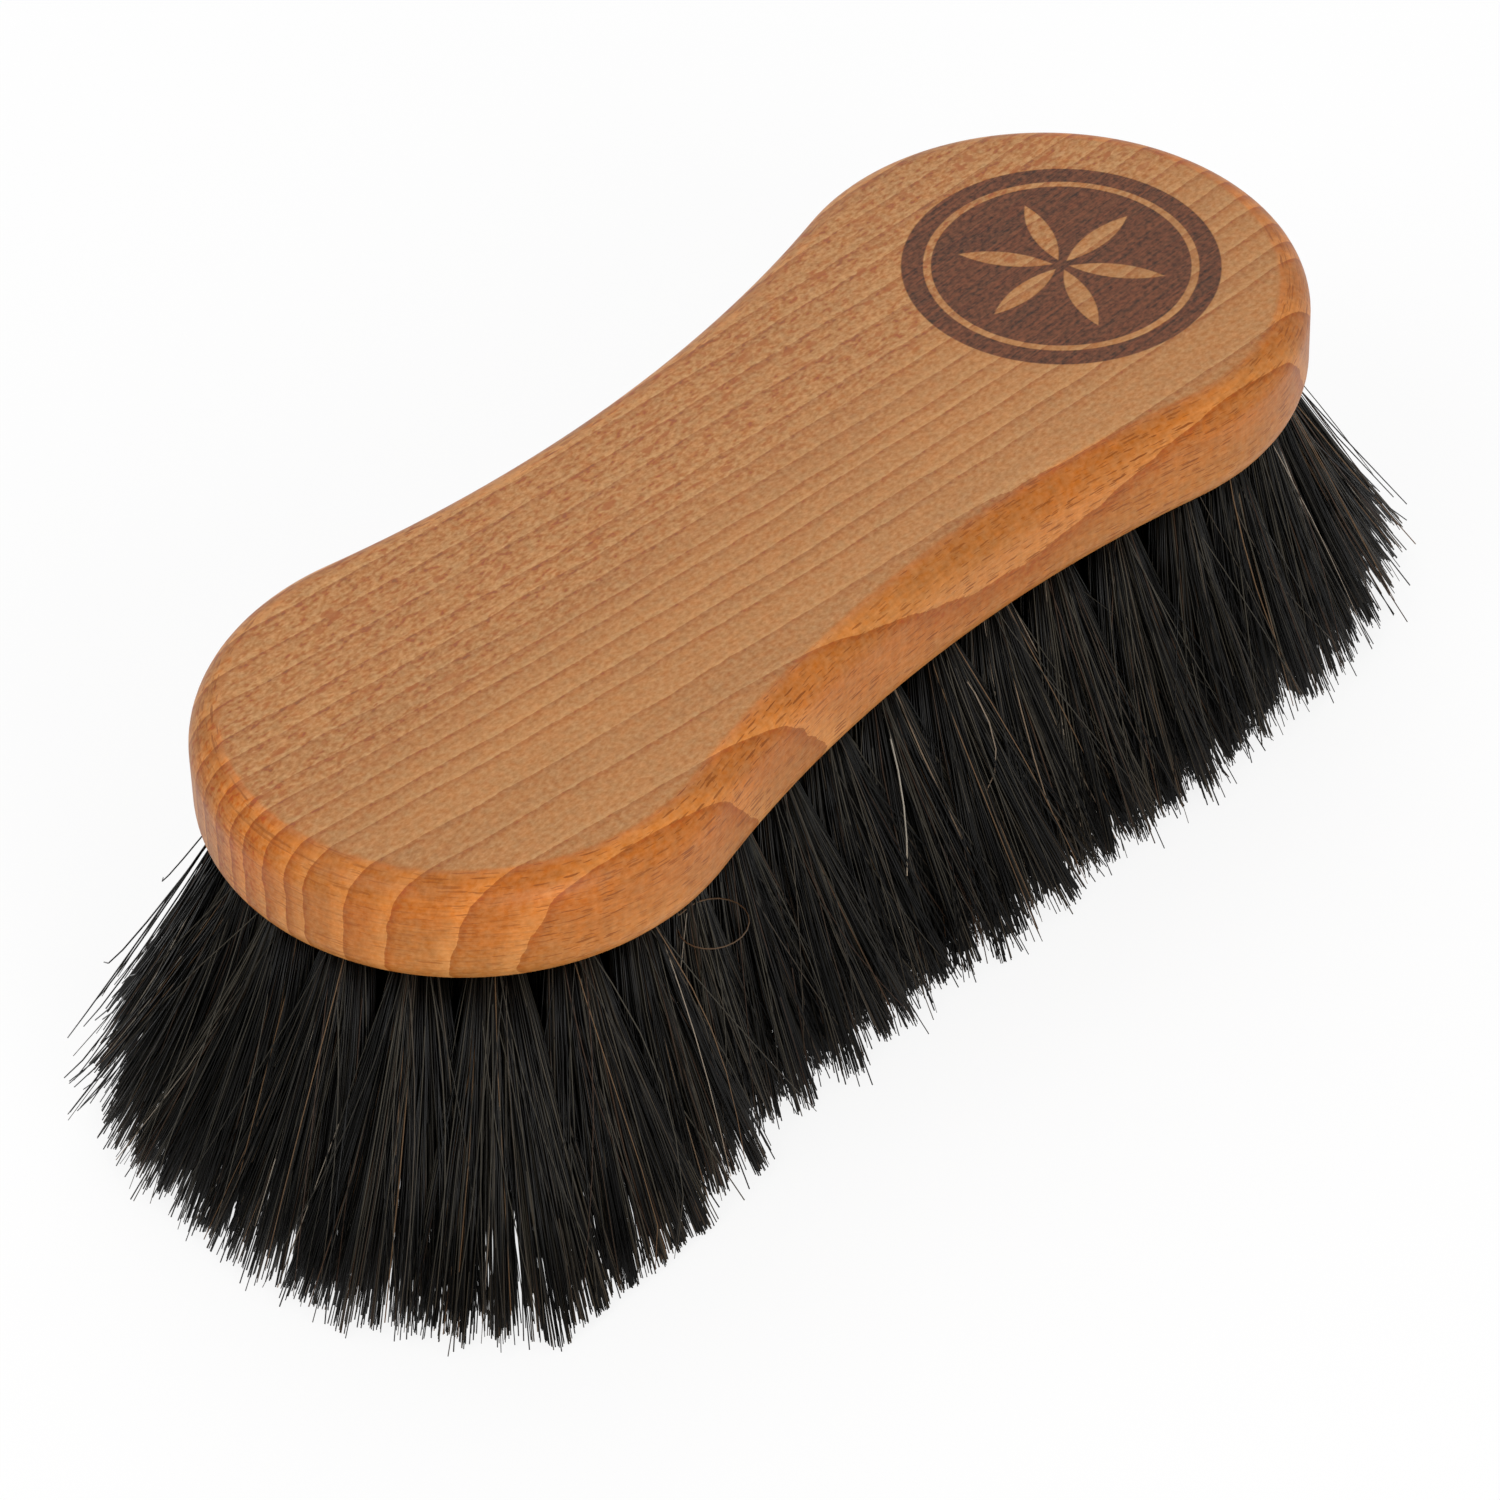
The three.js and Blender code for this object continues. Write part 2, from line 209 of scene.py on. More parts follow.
class BlockSizes(bpy.types.PropertyGroup):
    """Sizes of the beech block, its drilled holes and its burnt mark."""
    length: length_value("Length", (BLOCK_HIGH.x - BLOCK_LOW.x) / MM, "Length over both lobes")
    lobe_width: length_value("Lobe width", (BLOCK_HIGH.y - BLOCK_LOW.y) / MM, "Width over a lobe")
    waist_width: length_value("Waist width", 63, "Width across the waist")
    thickness: length_value("Thickness", 18, "Height from the drilled face to the top")
    top_round: length_value("Top rounding", 5.2, "Radius of the rounding along the top edge")
    foot_round: length_value("Foot rounding", 5, "Radius of the rounding along the lower edge")
    hole_diameter: length_value("Hole diameter", 6.5, "Diameter of one tuft hole")
    hole_depth: length_value("Hole depth", 10, "Depth of one tuft hole")
    mark_radius: length_value("Mark radius", 23.4, "Radius of the burnt round mark")
    mark_distance: length_value("Mark distance", 65, "From the middle of the block to that of the mark")
    ring_radius: length_value("Ring radius", 19.6, "Radius of the pale ring in the mark")
    petal_length: length_value("Petal length", 16.5, "Length of a petal of the rosette in the mark")


class HairSizes(bpy.types.PropertyGroup):
    """Sizes of the horsehair tufts and of the staples that hold them."""
    hair_length: length_value("Hair length", 44, "Free length of the hair below the block")
    hair_thickness: length_value("Hair thickness", 0.23, "Thickness of one hair at its root")
    row_spacing: length_value("Row spacing", 10.5, "Distance between two rows of tufts")
    fan: length_value("Fan", 6.3, "How far a tuft of the outer row fans out at its tips")
    inner_fan: length_value("Inner fan", 9.5, "How far a tuft behind the outer row fans out at its tips")
    outer_hairs: IntProperty(name="Outer hairs", description="Hairs in a tuft of the outer row",
                             default=740, min=20)
    inner_hairs: IntProperty(name="Inner hairs", description="Hairs in a tuft behind the outer row",
                             default=520, min=20)
    wire: length_value("Wire", 0.8, "Thickness of the staple wire")


class Colours(bpy.types.PropertyGroup):
    """Colours of the wood, the burnt mark, the hair and the wire."""
    ring_line: colour_value("Ring line", "95591F", "Dark line where a growth ring ends")
    ring_middle: colour_value("Ring middle", "A66F38", "Middle of a growth ring")
    ring_light: colour_value("Ring light", "AE7A44", "Pale wood just before a ring ends")
    darkest: colour_value("Darkest wood", "7D4714", "The darkest that bare wood gets")
    rays: colour_value("Rays", "964F0C", "Medullary ray flecks on the top")
    ray_ends: colour_value("Ray ends", "7F400A", "Medullary ray dashes on the sides")
    burnt: colour_value("Burnt mark", "4F2A1A", "Wood darkened by heat")
    hair_black: colour_value("Black hair", "13110D", "Most of the horsehair")
    hair_brown: colour_value("Brown hair", "38281D", "Some dark brown hairs")
    hair_tan: colour_value("Tan hair", "71583F", "A few tan hairs")
    hair_white: colour_value("White hair", "B4AB9C", "A few whitish hairs")
    wire: colour_value("Wire", "B4B6B8", "Drawn steel wire")


def user_values(context):
    """The user's sizes of the block and of the hair, and colours."""
    scene = context.scene
    return scene.brush_block, scene.brush_hair, scene.brush_colours


def turned(turn, length):
    """The flat point at a turn and a distance from the origin."""
    return Vector((math.cos(turn), math.sin(turn))) * length


class Outline:
    """The waisted outline: two lobe arcs joined by two hollow waist arcs, with the rows that follow it."""

    def __init__(self, block, hair):
        half_waist = block.waist_width / 2
        self.lobe_radius = block.lobe_width / 2
        self.lobe_x = block.length / 2 - self.lobe_radius
        rise = self.lobe_radius - half_waist
        self.waist_radius = (self.lobe_x ** 2 + half_waist ** 2 - self.lobe_radius ** 2) / (2 * rise)
        self.waist_y = half_waist + self.waist_radius
        self.waist_sweep = math.atan2(self.lobe_x, self.waist_y)
        self.lobe_sweep = math.pi / 2 + self.waist_sweep
        self.underside = hair.hair_length
        self.top = self.underside + block.thickness
        # The outer holes stand just clear of the lower rounding.
        self.outer_inset = block.foot_round + block.hole_diameter / 2 + 0.3 * MM
        self.second_inset = self.outer_inset + hair.row_spacing

    def row(self, inset, steps):
        """Points of one row that keeps its distance from the edge."""
        points = []
        lobe_steps, waist_steps = steps
        for side in (1, -1):
            for i in range(lobe_steps + 1):
                turn = self.lobe_sweep * (2 * i / lobe_steps - 1)
                points.append((Vector((self.lobe_x, 0)) + turned(turn, self.lobe_radius - inset)) * side)
            for i in range(1, waist_steps):
                turn = -math.pi / 2 + self.waist_sweep * (1 - 2 * i / waist_steps)
                points.append((Vector((0, self.waist_y)) + turned(turn, self.waist_radius + inset)) * side)
        return points

    def outer_tufts(self):
        """Points of the outer row."""
        return self.row(self.outer_inset, OUTER_ROW)

    def second_tufts(self):
        """Points of the row behind the outer one."""
        return self.row(self.second_inset, SECOND_ROW)

    def centre_tufts(self):
        """Points in the middle of each lobe, with more round them, and along the spine between them."""
        core = (self.lobe_radius - self.second_inset) / 2
        points = []
        for side in (1, -1):
            middle = Vector((side * self.lobe_x, 0))
            points.append(middle)
            for i in range(LOBE_CORE_TUFTS):
                points.append(middle + turned(2 * math.pi * i / LOBE_CORE_TUFTS, side * core))
        reach = self.lobe_x - core
        for i in range(SPINE_TUFTS):
            points.append(Vector((-reach + 2 * reach / SPINE_TUFTS * (i + 0.5), 0)))
        return points

    def away(self, point):
        """From the nearest point of the spine to a point: the way its tuft leans."""
        return point - Vector((max(-self.lobe_x, min(self.lobe_x, point.x)), 0))


def linked(name, data):
    """A new object in the scene."""
    made = bpy.data.objects.new(name, data)
    bpy.context.scene.collection.objects.link(made)
    return made


def fresh(name, mesh, material):
    """Puts a mesh in the scene under a name, in place of an older one, and lets it ride on the brush."""
    old = bpy.data.objects.get(name)
    if old:
        bpy.data.objects.remove(old)
    made = linked(name, mesh)
    mesh.materials.clear()
    mesh.materials.append(material)
    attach(made, "root")
    return made


def finished(made):
    """The object's mesh with its modifiers applied. It is an error if nothing is left of it."""
    evaluated = made.evaluated_get(bpy.context.evaluated_depsgraph_get())
    mesh = bpy.data.meshes.new_from_object(evaluated)
    if not mesh.polygons:
        raise RuntimeError(f"{made.name} has no faces")
    return mesh


def mesh_from(shape, name):
    """A new mesh from a bmesh, which is then freed."""
    mesh = bpy.data.meshes.new(name)
    shape.to_mesh(mesh)
    shape.free()
    return mesh


def new_curve(name, **settings):
    """A new curve with its settings."""
    curve = bpy.data.curves.new(name, "CURVE")
    for setting, value in settings.items():
        setattr(curve, setting, value)
    return curve


def curve_mesh(name, curve):
    """The mesh of a curve's bevelled form."""
    made = linked(name, curve)
    mesh = finished(made)
    bpy.data.objects.remove(made)
    return mesh


def join_up(mesh, distance):
    """Merges the points of a mesh that lie within a distance of each other, and turns its faces outwards."""
    shape = bmesh.new()
    shape.from_mesh(mesh)
    bmesh.ops.remove_doubles(shape, verts=shape.verts, dist=distance)
    bmesh.ops.recalc_face_normals(shape, faces=shape.faces)
    shape.to_mesh(mesh)
    shape.free()


# Materials


def add_node(tree, kind, settings=None, *values, **inputs):
    """Adds a shader node. Its settings are a table, or only its operation. Its inputs come in order or by
    name, in_6 being the seventh; each is a value, a socket to link or a node whose first output is linked."""
    made = tree.nodes.new("ShaderNode" + kind)
    if isinstance(settings, str):
        settings = {"operation": settings}
    for name, value in (settings or {}).items():
        setattr(made, name, value)
    given = list(zip(made.inputs, values))
    for name, value in inputs.items():
        socket = made.inputs[int(name[3:])] if name[:3] == "in_" else made.inputs[name.replace("_", " ")]
        given.append((socket, value))
    for socket, value in given:
        if isinstance(value, bpy.types.Node):
            value = value.outputs[0]
        if isinstance(value, bpy.types.NodeSocket):
            tree.links.new(value, socket)
        else:
            socket.default_value = value
    return made


def emptied(tree):
    """Empties a node tree and gives the function that adds nodes to it."""
    tree.nodes.clear()
    return partial(add_node, tree)


def new_material(name):
    """An empty node material, and the function that adds nodes to it."""
    material = bpy.data.materials.get(name) or bpy.data.materials.new(name)
    material.use_nodes = True
    return material, emptied(material.node_tree)


def grey(share):
    """A share as an opaque grey."""
    return (share, share, share, 1)


def set_stops(ramp, stops):
    """Gives a colour ramp its stops, as position and colour."""
    elements = ramp.color_ramp.elements
    while len(elements) > 1:
        elements.remove(elements[-1])
    elements[0].position, elements[0].color = stops[0]
    for position, colour in stops[1:]:
        elements.new(position).color = colour


def edge_stops(shares):
    """The stops of a ramp through the log: a share from each ring's edge on."""
    far, near = RING_EDGES[0], RING_EDGES[-1]
    return [((far - edge) / (far - near), grey(share)) for edge, share in zip(RING_EDGES, shares)]


def place_in_log(add, axes, noises, top):
    """How far through the log a place lies, from 0 at the first ring's edge to 1 at the last one's."""
    x, y, z = axes
    # The rings cross the block at a tilt of about a tenth, which eases towards the far end.
    tilt = add("Math", "MULTIPLY_ADD", x, -0.00033, 0.098)
    ring = add("Math", "MULTIPLY_ADD", tilt, x, y)
    # The rings bulge along the near side of the waist, and lean out below, more the nearer they lie to it.
    waist = add("MapRange", SMOOTH, x, -45, 0)
    bulge = add("MapRange", SMOOTH, y, -25, -31, 0, 2.4)
    ring = add("Math", "MULTIPLY_ADD", waist, bulge, ring)
    lean = add("Math", {"operation": "MULTIPLY", "use_clamp": True}, y, -0.0075)
    under = add("Math", "SUBTRACT", z, top)
    ring = add("Math", "MULTIPLY_ADD", under, lean, ring)
    for name, size in RING_BENDS:
        ring = add("Math", "MULTIPLY_ADD", noises[name], size, ring)
    # Noises are a half on average, so the bends move all edges by half their sizes.
    offset = sum(size for _, size in RING_BENDS) / 2
    return add("MapRange", None, ring, RING_EDGES[0] + offset, RING_EDGES[-1] + offset)


def ring_wood(add, place, sides, colours):
    """The colour of the growth rings, each darkest just past its edge and palest before the next, and a
    random share of each ring's own."""
    count = len(RING_EDGES) - 1
    log = add("ValToRGB", None, place)
    set_stops(log, edge_stops([i / count for i in range(count + 1)]))
    rings = add("Math", "MULTIPLY", log, count)
    phase = add("Math", "FRACT", rings)
    number = add("Math", "FLOOR", rings)
    own = add("TexWhiteNoise", {"noise_dimensions": "1D"}, W=number)
    # The ring's width in centimetres turns its phase into centimetres past its edge and before the next one.
    widths = add("ValToRGB", None, place)
    widths.color_ramp.interpolation = "CONSTANT"
    set_stops(widths, edge_stops([(edge - following) / 10
                                  for edge, following in zip(RING_EDGES, RING_EDGES[1:])]))
    past = add("Math", "MULTIPLY", phase, widths)
    before = add("Math", "SUBTRACT", widths, past)

    # The pale wood is wider and paler on the sides.
    reach = add("MapRange", None, sides, 0, 1, 0.14, 0.3)
    pale_share = add("MapRange", SMOOTH, before, 0, reach, 1, 0)
    light = list(colours.ring_light)
    side_light = [part * 1.16 for part in light[:3]] + [1]
    pale = add("Mix", COLOUR, sides, in_6=light, in_7=side_light).outputs[2]
    wood = add("Mix", COLOUR, pale_share, in_6=list(colours.ring_middle), in_7=pale).outputs[2]

    line = add("ValToRGB", None, past)
    set_stops(line, [(distance, grey(share)) for distance, share in RING_LINE])
    own_line = add("MapRange", None, own, 0, 1, 0.85, 1.15)
    line_share = add("Math", "MULTIPLY", line, own_line)
    return add("Mix", COLOUR, line_share, in_6=wood, in_7=list(colours.ring_line)).outputs[2], own


def wood_tone(add, noises, own, sides):
    """How light the wood is: fibre, clouds and each ring's own tone, with ripples on the sides, which cut the
    fibre at a slant, and level lines there that are painted sheen of that cut fibre."""
    ripple = add("MapRange", None, noises["ripple"], 0.3, 0.7, -0.05, 0.05)
    # The level lines are painted sheen of the cut fibre, lighter and darker bands on the sides.
    lines = add("MapRange", None, noises["lines"], 0.3, 0.7, -0.11, 0.1)
    ripple = add("Math", "ADD", ripple, lines)
    ripple = add("Math", "MULTIPLY_ADD", ripple, sides, 1)
    tone = add("MapRange", None, noises["fibre"], 0.25, 0.75, 0.97, 1.03)
    clouds = add("MapRange", None, noises["cloud"], 0.3, 0.7, 0.95, 1.05)
    own_tone = add("MapRange", None, own, 0, 1, 0.965, 1.035)
    for factor in (clouds, own_tone, ripple):
        tone = add("Math", "MULTIPLY", tone, factor)
    return tone


def oil_and_shade_share(add, axes, noises, sides):
    """How strongly the sides are tinted darker and more orange than the top: partly the oil that they take
    and partly painted shade, with the top left paler as if it held a sheen. The tint comes in clouds, more
    above and at the near end, less at the far side; the walls keep less of it low down, a painted highlight.
    """
    x, y, z = axes
    share = add("MapRange", None, noises["cloud"], 0.35, 0.65, 0.75, 1.25)
    # Less tint low on the walls leaves them paler there: a painted highlight.
    above = add("MapRange", None, z, 45, 58, 0.3, 0.95)
    near_end = add("MapRange", None, x, -60, -92, 1, 1.15)
    far_wall = add("MapRange", SMOOTH, y, 16, 30, 1, 0.3)
    for factor in (sides, above, near_end, far_wall):
        share = add("Math", "MULTIPLY", share, factor)
    return share


def flecked(add, wood, noises, far_side, sides):
    """The wood with its grain, which shows most at the far side of the top, and with ruddy spots and, at the
    far side, short streaks."""
    lit = add("Math", "SUBTRACT", noises["grain"], 0.5)
    depth = add("MapRange", None, far_side, 0, 1, 8, 10.5)
    soft = add("MapRange", None, sides, 0, 1, 1, 0.55)
    for factor in (depth, soft):
        lit = add("Math", "MULTIPLY", lit, factor)
    ruddy = add("Math", "SUBTRACT", noises["spots"], 0.5)
    streak = add("MapRange", SMOOTH, noises["streak"], 0.5, 0.7, 0.12, -1)
    streak = add("Math", "MULTIPLY", streak, far_side)
    for share, light in ((lit, GRAIN_LIGHT), (ruddy, RUDDY_LIGHT), (streak, STREAK_LIGHT)):
        light = add("VectorMath", "SCALE", light, Scale=share)
        wood = add("VectorMath", "ADD", wood, light)
    return wood


def ray_mask(add, axes, noises, sides, top, bend):
    """Where the medullary rays are cut, from 0 to 1. Rays are thin sheets across the rings: they show as fine
    level dashes on the sides and as irregular flecks on the top, which they meet at a slant. They are drawn a
    little coarser than life so that they show."""
    x, y, z = axes
    # The slant eases beyond 26 mm, near the far edge of the top.
    beyond = add("Math", "SUBTRACT", y, 26)
    beyond = add("Math", "MAXIMUM", beyond, 0)
    slant = add("Math", "MULTIPLY", y, -0.55)
    slant = add("Math", "MULTIPLY_ADD", beyond, 0.43, slant)
    # Over the top rounding the dashes are spaced along its arc.
    rise = add("Math", "SUBTRACT", z, top - bend)
    rise = add("Math", "MAXIMUM", rise, 0)
    arc = add("Math", "DIVIDE", rise, bend)
    arc = add("Math", "ARCSINE", arc)
    level = add("Math", "SUBTRACT", z, rise)
    level = add("Math", "MULTIPLY_ADD", arc, bend, level)
    level = add("Math", "MULTIPLY", level, 1.9)
    sheet = add("Mix", None, sides, in_2=slant, in_3=level)
    # The sides read the pattern 40 mm away from the top, so that they don't repeat it.
    deep = add("Math", "MULTIPLY_ADD", sides, 40, y)
    sheets = add("CombineXYZ", None, x, deep, sheet)
    sheets = add("VectorMath", "MULTIPLY_ADD", noises["wander"].outputs["Color"], RAY_WANDER, sheets)
    masks = []
    for cell, empty, strength in RAY_FLECKS:
        scaled = add("VectorMath", "MULTIPLY", sheets, [1 / size for size in cell])
        flecks = add("TexVoronoi", None, Vector=scaled, Scale=1)
        chance = add("SeparateXYZ", None, flecks.outputs["Color"])
        size = add("MapRange", None, chance, empty, 1, 0, 0.42)
        size = add("Math", "MULTIPLY_ADD", sides, 0.05, size)
        inside = add("Math", "SUBTRACT", size, flecks.outputs["Distance"])
        masks.append(add("MapRange", SMOOTH, inside, 0, 0.1, 0, strength))
    return add("Math", "MAXIMUM", *masks)


def ray_strength(add, x, noises, far_side, sides):
    """How strongly the rays show: on the top more at its far side, on the sides less across the end grain,
    and everywhere in patches."""
    on_top = add("MapRange", None, far_side, 0, 1, 0.15, 0.85)
    from_middle = add("Math", "ABSOLUTE", x)
    on_sides = add("MapRange", SMOOTH, from_middle, 78, 95, 1, 0.6)
    shown = add("Mix", None, sides, in_2=on_top, in_3=on_sides)
    patchy = add("MapRange", None, noises["small"], 0.35, 0.65, 0.55, 1.1)
    return add("Math", "MULTIPLY", shown, patchy)


def burnt_mark(add, axes, block, top):
    """How dark the mark is, from 0 to 1: a disc on the top, with a six-petal rosette and a ring left pale."""
    x, y, z = axes
    across = add("Math", "SUBTRACT", x, block.mark_distance / MM)
    flat = add("CombineXYZ", None, across, y, 0)
    radius = add("VectorMath", "LENGTH", flat).outputs["Value"]
    # Folded up, the rosette is half a petal, whose edge is an arc.
    turn = add("Math", "ARCTAN2", y, across)
    fold = add("Math", "PINGPONG", turn, math.pi / 6)
    cosine = add("Math", "COSINE", fold)
    sine = add("Math", "SINE", fold)
    folded = add("CombineXYZ", None, cosine, sine, 0)
    folded = add("VectorMath", "SCALE", folded, Scale=radius)
    petal = block.petal_length / MM
    arc_centre = (petal / 2, -petal * math.sqrt(3) / 2, 0)
    reach = add("VectorMath", "DISTANCE", folded, arc_centre).outputs["Value"]
    petals = add("MapRange", SMOOTH, reach, petal - 0.75, petal - 0.45, 1, 0)
    off_ring = add("Math", "SUBTRACT", radius, block.ring_radius / MM)
    off_ring = add("Math", "ABSOLUTE", off_ring)
    band = add("MapRange", SMOOTH, off_ring, 0.45, 0.7, 1, 0)
    pale = add("Math", "MAXIMUM", petals, band)
    edge = block.mark_radius / MM
    disc = add("MapRange", SMOOTH, radius, edge - 0.15, edge + 0.15, 1, 0)
    on_top = add("Math", "GREATER_THAN", z, top - 0.5)
    disc = add("Math", "MULTIPLY", disc, on_top)
    dark = add("Math", {"operation": "MULTIPLY_ADD", "use_clamp": True}, pale, -0.93, 1)
    return add("Math", "MULTIPLY", dark, disc)


def beech(colours, block, plan):
    """Oiled steamed beech: uneven growth rings cut by the sloping sides, fine fibre along the block and short
    reddish ray flecks, with a round mark burnt into the top. It gives the eye a warm satin wood."""
    material, add = new_material("oiled_steamed_beech")
    mm = add("VectorMath", "SCALE", add("TexCoord").outputs["Object"], Scale=1 / MM)
    axes = add("SeparateXYZ", None, mm).outputs
    top, bend = plan.top / MM, block.top_round / MM
    far_side = add("MapRange", SMOOTH, axes[1], -5, 10)
    sides = add("MapRange", SMOOTH, axes[2], top - 0.07, top - 0.005, 1, 0)
    noises = {}
    for name, (scale, turn, detail, roughness) in WOOD_NOISES.items():
        place = add("Mapping", None, Vector=mm, Rotation=(0, 0, math.radians(turn)), Scale=scale)
        noises[name] = add("TexNoise", None, Vector=place, Scale=1, Detail=detail, Roughness=roughness)

    wood, own = ring_wood(add, place_in_log(add, axes, noises, top), sides, colours)
    wood = add("VectorMath", "SCALE", wood, Scale=wood_tone(add, noises, own, sides))
    # The sides take a darker, more orange tint: partly oil, partly painted shade, and paler low down as a
    # painted highlight.
    oil_and_shade = oil_and_shade_share(add, axes, noises, sides)
    wood = add("Mix", {**COLOUR, "blend_type": "MULTIPLY", "clamp_factor": False}, oil_and_shade,
               in_6=wood, in_7=OIL_AND_SHADE_TINT).outputs[2]
    wood = flecked(add, wood, noises, far_side, sides)
    wood = add("VectorMath", "MAXIMUM", wood, list(colours.darkest)[:3])

    ray = ray_mask(add, axes, noises, sides, top, bend)
    ray_share = add("Math", "MULTIPLY", ray, ray_strength(add, axes[0], noises, far_side, sides))
    ray_colour = add("Mix", COLOUR, sides, in_6=list(colours.rays), in_7=list(colours.ray_ends)).outputs[2]
    wood = add("Mix", COLOUR, ray_share, in_6=wood, in_7=ray_colour).outputs[2]

    # The burnt wood keeps its grain.
    dark = burnt_mark(add, axes, block, top)
    char = add("Math", "MULTIPLY_ADD", noises["grain"], 1.3, noises["fibre"])
    char = add("MapRange", None, char, 0.85, 1.45, 0.05, 2.1)
    char = add("VectorMath", "SCALE", list(colours.burnt)[:3], Scale=char)
    share = add("Math", "MULTIPLY", dark, 0.94)
    wood = add("Mix", COLOUR, share, in_6=wood, in_7=char).outputs[2]

    rough = add("MapRange", None, noises["fibre"], 0.2, 0.8, 0.38, 0.48)
    rough = add("Math", "MULTIPLY_ADD", dark, 0.2, rough)
    height = add("Math", "MULTIPLY_ADD", noises["grain"], 1.5, noises["fibre"])
    for cut, depth in ((ray, -0.4), (dark, -1.5)):
        height = add("Math", "MULTIPLY_ADD", cut, depth, height)
    bump = add("Bump", None, Strength=0.35, Distance=0.04 * MM, Height=height)
    shader = add("BsdfPrincipled", None, Base_Color=wood, Roughness=rough, IOR=1.5,
                 Specular_IOR_Level=0.2, Normal=bump)
    add("OutputMaterial", None, Surface=shader)
    return material


def horsehair(colours):
    """Natural horsehair: mostly black with a soft sheen, and now and then a brown, tan or whitish hair. The
    colour comes from the hair's own map: across it lie the shades, the lightest black ones partly painted
    highlight, and along it root to tip, with painted shade at the root where the block shades the hair."""
    material, add = new_material("natural_horsehair")
    across, along = add("SeparateXYZ", None, add("UVMap", {"uv_map": "OFBake"})).outputs[:2]
    shade = add("ValToRGB", None, across)
    black = list(colours.hair_black)[:3]
    # The lightest black stops carry painted highlight as well as the hairs' own tone.
    stops = [(place, [part * share for part in black] + [1]) for place, share in BLACK_SHADES_AND_HIGHLIGHTS]
    set_stops(shade, stops + [(0.88, list(colours.hair_brown)), (0.94, list(colours.hair_tan)),
                              (1.0, list(colours.hair_white))])
    # Along the hair: darkest at the root, a painted shade under the block, then darker again towards the
    # tips, which are browner.
    length = add("ValToRGB", None, along)
    set_stops(length, [(0.0, grey(0.6)), (0.2, grey(1)), (0.8, grey(0.75)), (1.0, (1.1, 0.95, 0.85, 1))])
    colour = add("Mix", {**COLOUR, "blend_type": "MULTIPLY"}, 1, in_6=shade, in_7=length).outputs[2]
    rough = add("MapRange", None, across, 0, 1, 0.32, 0.48)
    shader = add("BsdfPrincipled", None, Base_Color=colour, Roughness=rough, IOR=1.55,
                 Specular_IOR_Level=0.16)
    add("OutputMaterial", None, Surface=shader)
    return material


def steel_wire(colours):
    """Drawn steel wire: a bright metal with faint lines along it, which gives the eye thin soft glints."""
    material, add = new_material("drawn_steel_wire")
    lines = add("TexNoise", None, Vector=add("TexCoord").outputs["Object"], Scale=2500, Detail=2)
    rough = add("MapRange", None, lines, 0.3, 0.7, 0.26, 0.42)
    tint = add("MapRange", None, lines, 0.3, 0.7, 0.9, 1)
    steel = add("VectorMath", "SCALE", list(colours.wire)[:3], Scale=tint)
    bump = add("Bump", None, Strength=0.3, Distance=0.01 * MM, Height=lines)
    shader = add("BsdfPrincipled", None, Base_Color=steel, Metallic=1, Roughness=rough, Normal=bump)
    add("OutputMaterial", None, Surface=shader)
    return material


# Pieces


def raised_outline(plan, sizes):
    """The mesh of the undrilled block: the outline spun from its arcs, raised and rounded on both edges."""
    shape = bmesh.new()
    start = Vector((plan.lobe_x, 0)) + turned(-plan.lobe_sweep, plan.lobe_radius)
    last = [shape.verts.new((start.x, start.y, plan.underside))]
    for side in (1, -1):
        for centre, sweep, steps in (((side * plan.lobe_x, 0), 2 * plan.lobe_sweep, 84),
                                     ((0, side * plan.waist_y), -2 * plan.waist_sweep, 30)):
            arc = bmesh.ops.spin(shape, geom=last, cent=(*centre, plan.underside), axis=UP,
                                 angle=sweep, steps=steps, use_duplicate=False)
            last = [v for v in arc["geom_last"] if isinstance(v, bmesh.types.BMVert)]
    bmesh.ops.remove_doubles(shape, verts=shape.verts, dist=0.01 * MM)
    foot = bmesh.ops.contextual_create(shape, geom=shape.edges)["faces"]
    raised = bmesh.ops.extrude_face_region(shape, geom=foot)["geom"]
    upper = [v for v in raised if isinstance(v, bmesh.types.BMVert)]
    bmesh.ops.translate(shape, verts=upper, vec=UP * sizes.thickness)
    bmesh.ops.recalc_face_normals(shape, faces=shape.faces)
    for level, radius, steps in ((plan.top, sizes.top_round, 12), (plan.underside, sizes.foot_round, 10)):
        rim = [e for e in shape.edges if all(abs(v.co.z - level) < 0.01 * MM for v in e.verts)]
        bmesh.ops.bevel(shape, geom=rim, offset=radius, offset_type="OFFSET", affect="EDGES",
                        segments=steps, profile=0.5, material=-1)
    return mesh_from(shape, "beech_block")


def drill_mesh(plan, sizes):
    """The mesh of the drills: a rod for each hole, which starts a little below the block."""
    drills = bmesh.new()
    height = plan.underside + sizes.hole_depth / 2 - 0.5 * MM
    for tuft in plan.outer_tufts() + plan.second_tufts() + plan.centre_tufts():
        bmesh.ops.create_cone(drills, cap_ends=True, segments=20, radius1=sizes.hole_diameter / 2,
                              radius2=sizes.hole_diameter / 2, depth=sizes.hole_depth + MM,
                              matrix=Matrix.Translation((tuft.x, tuft.y, height)))
    return mesh_from(drills, "drills")


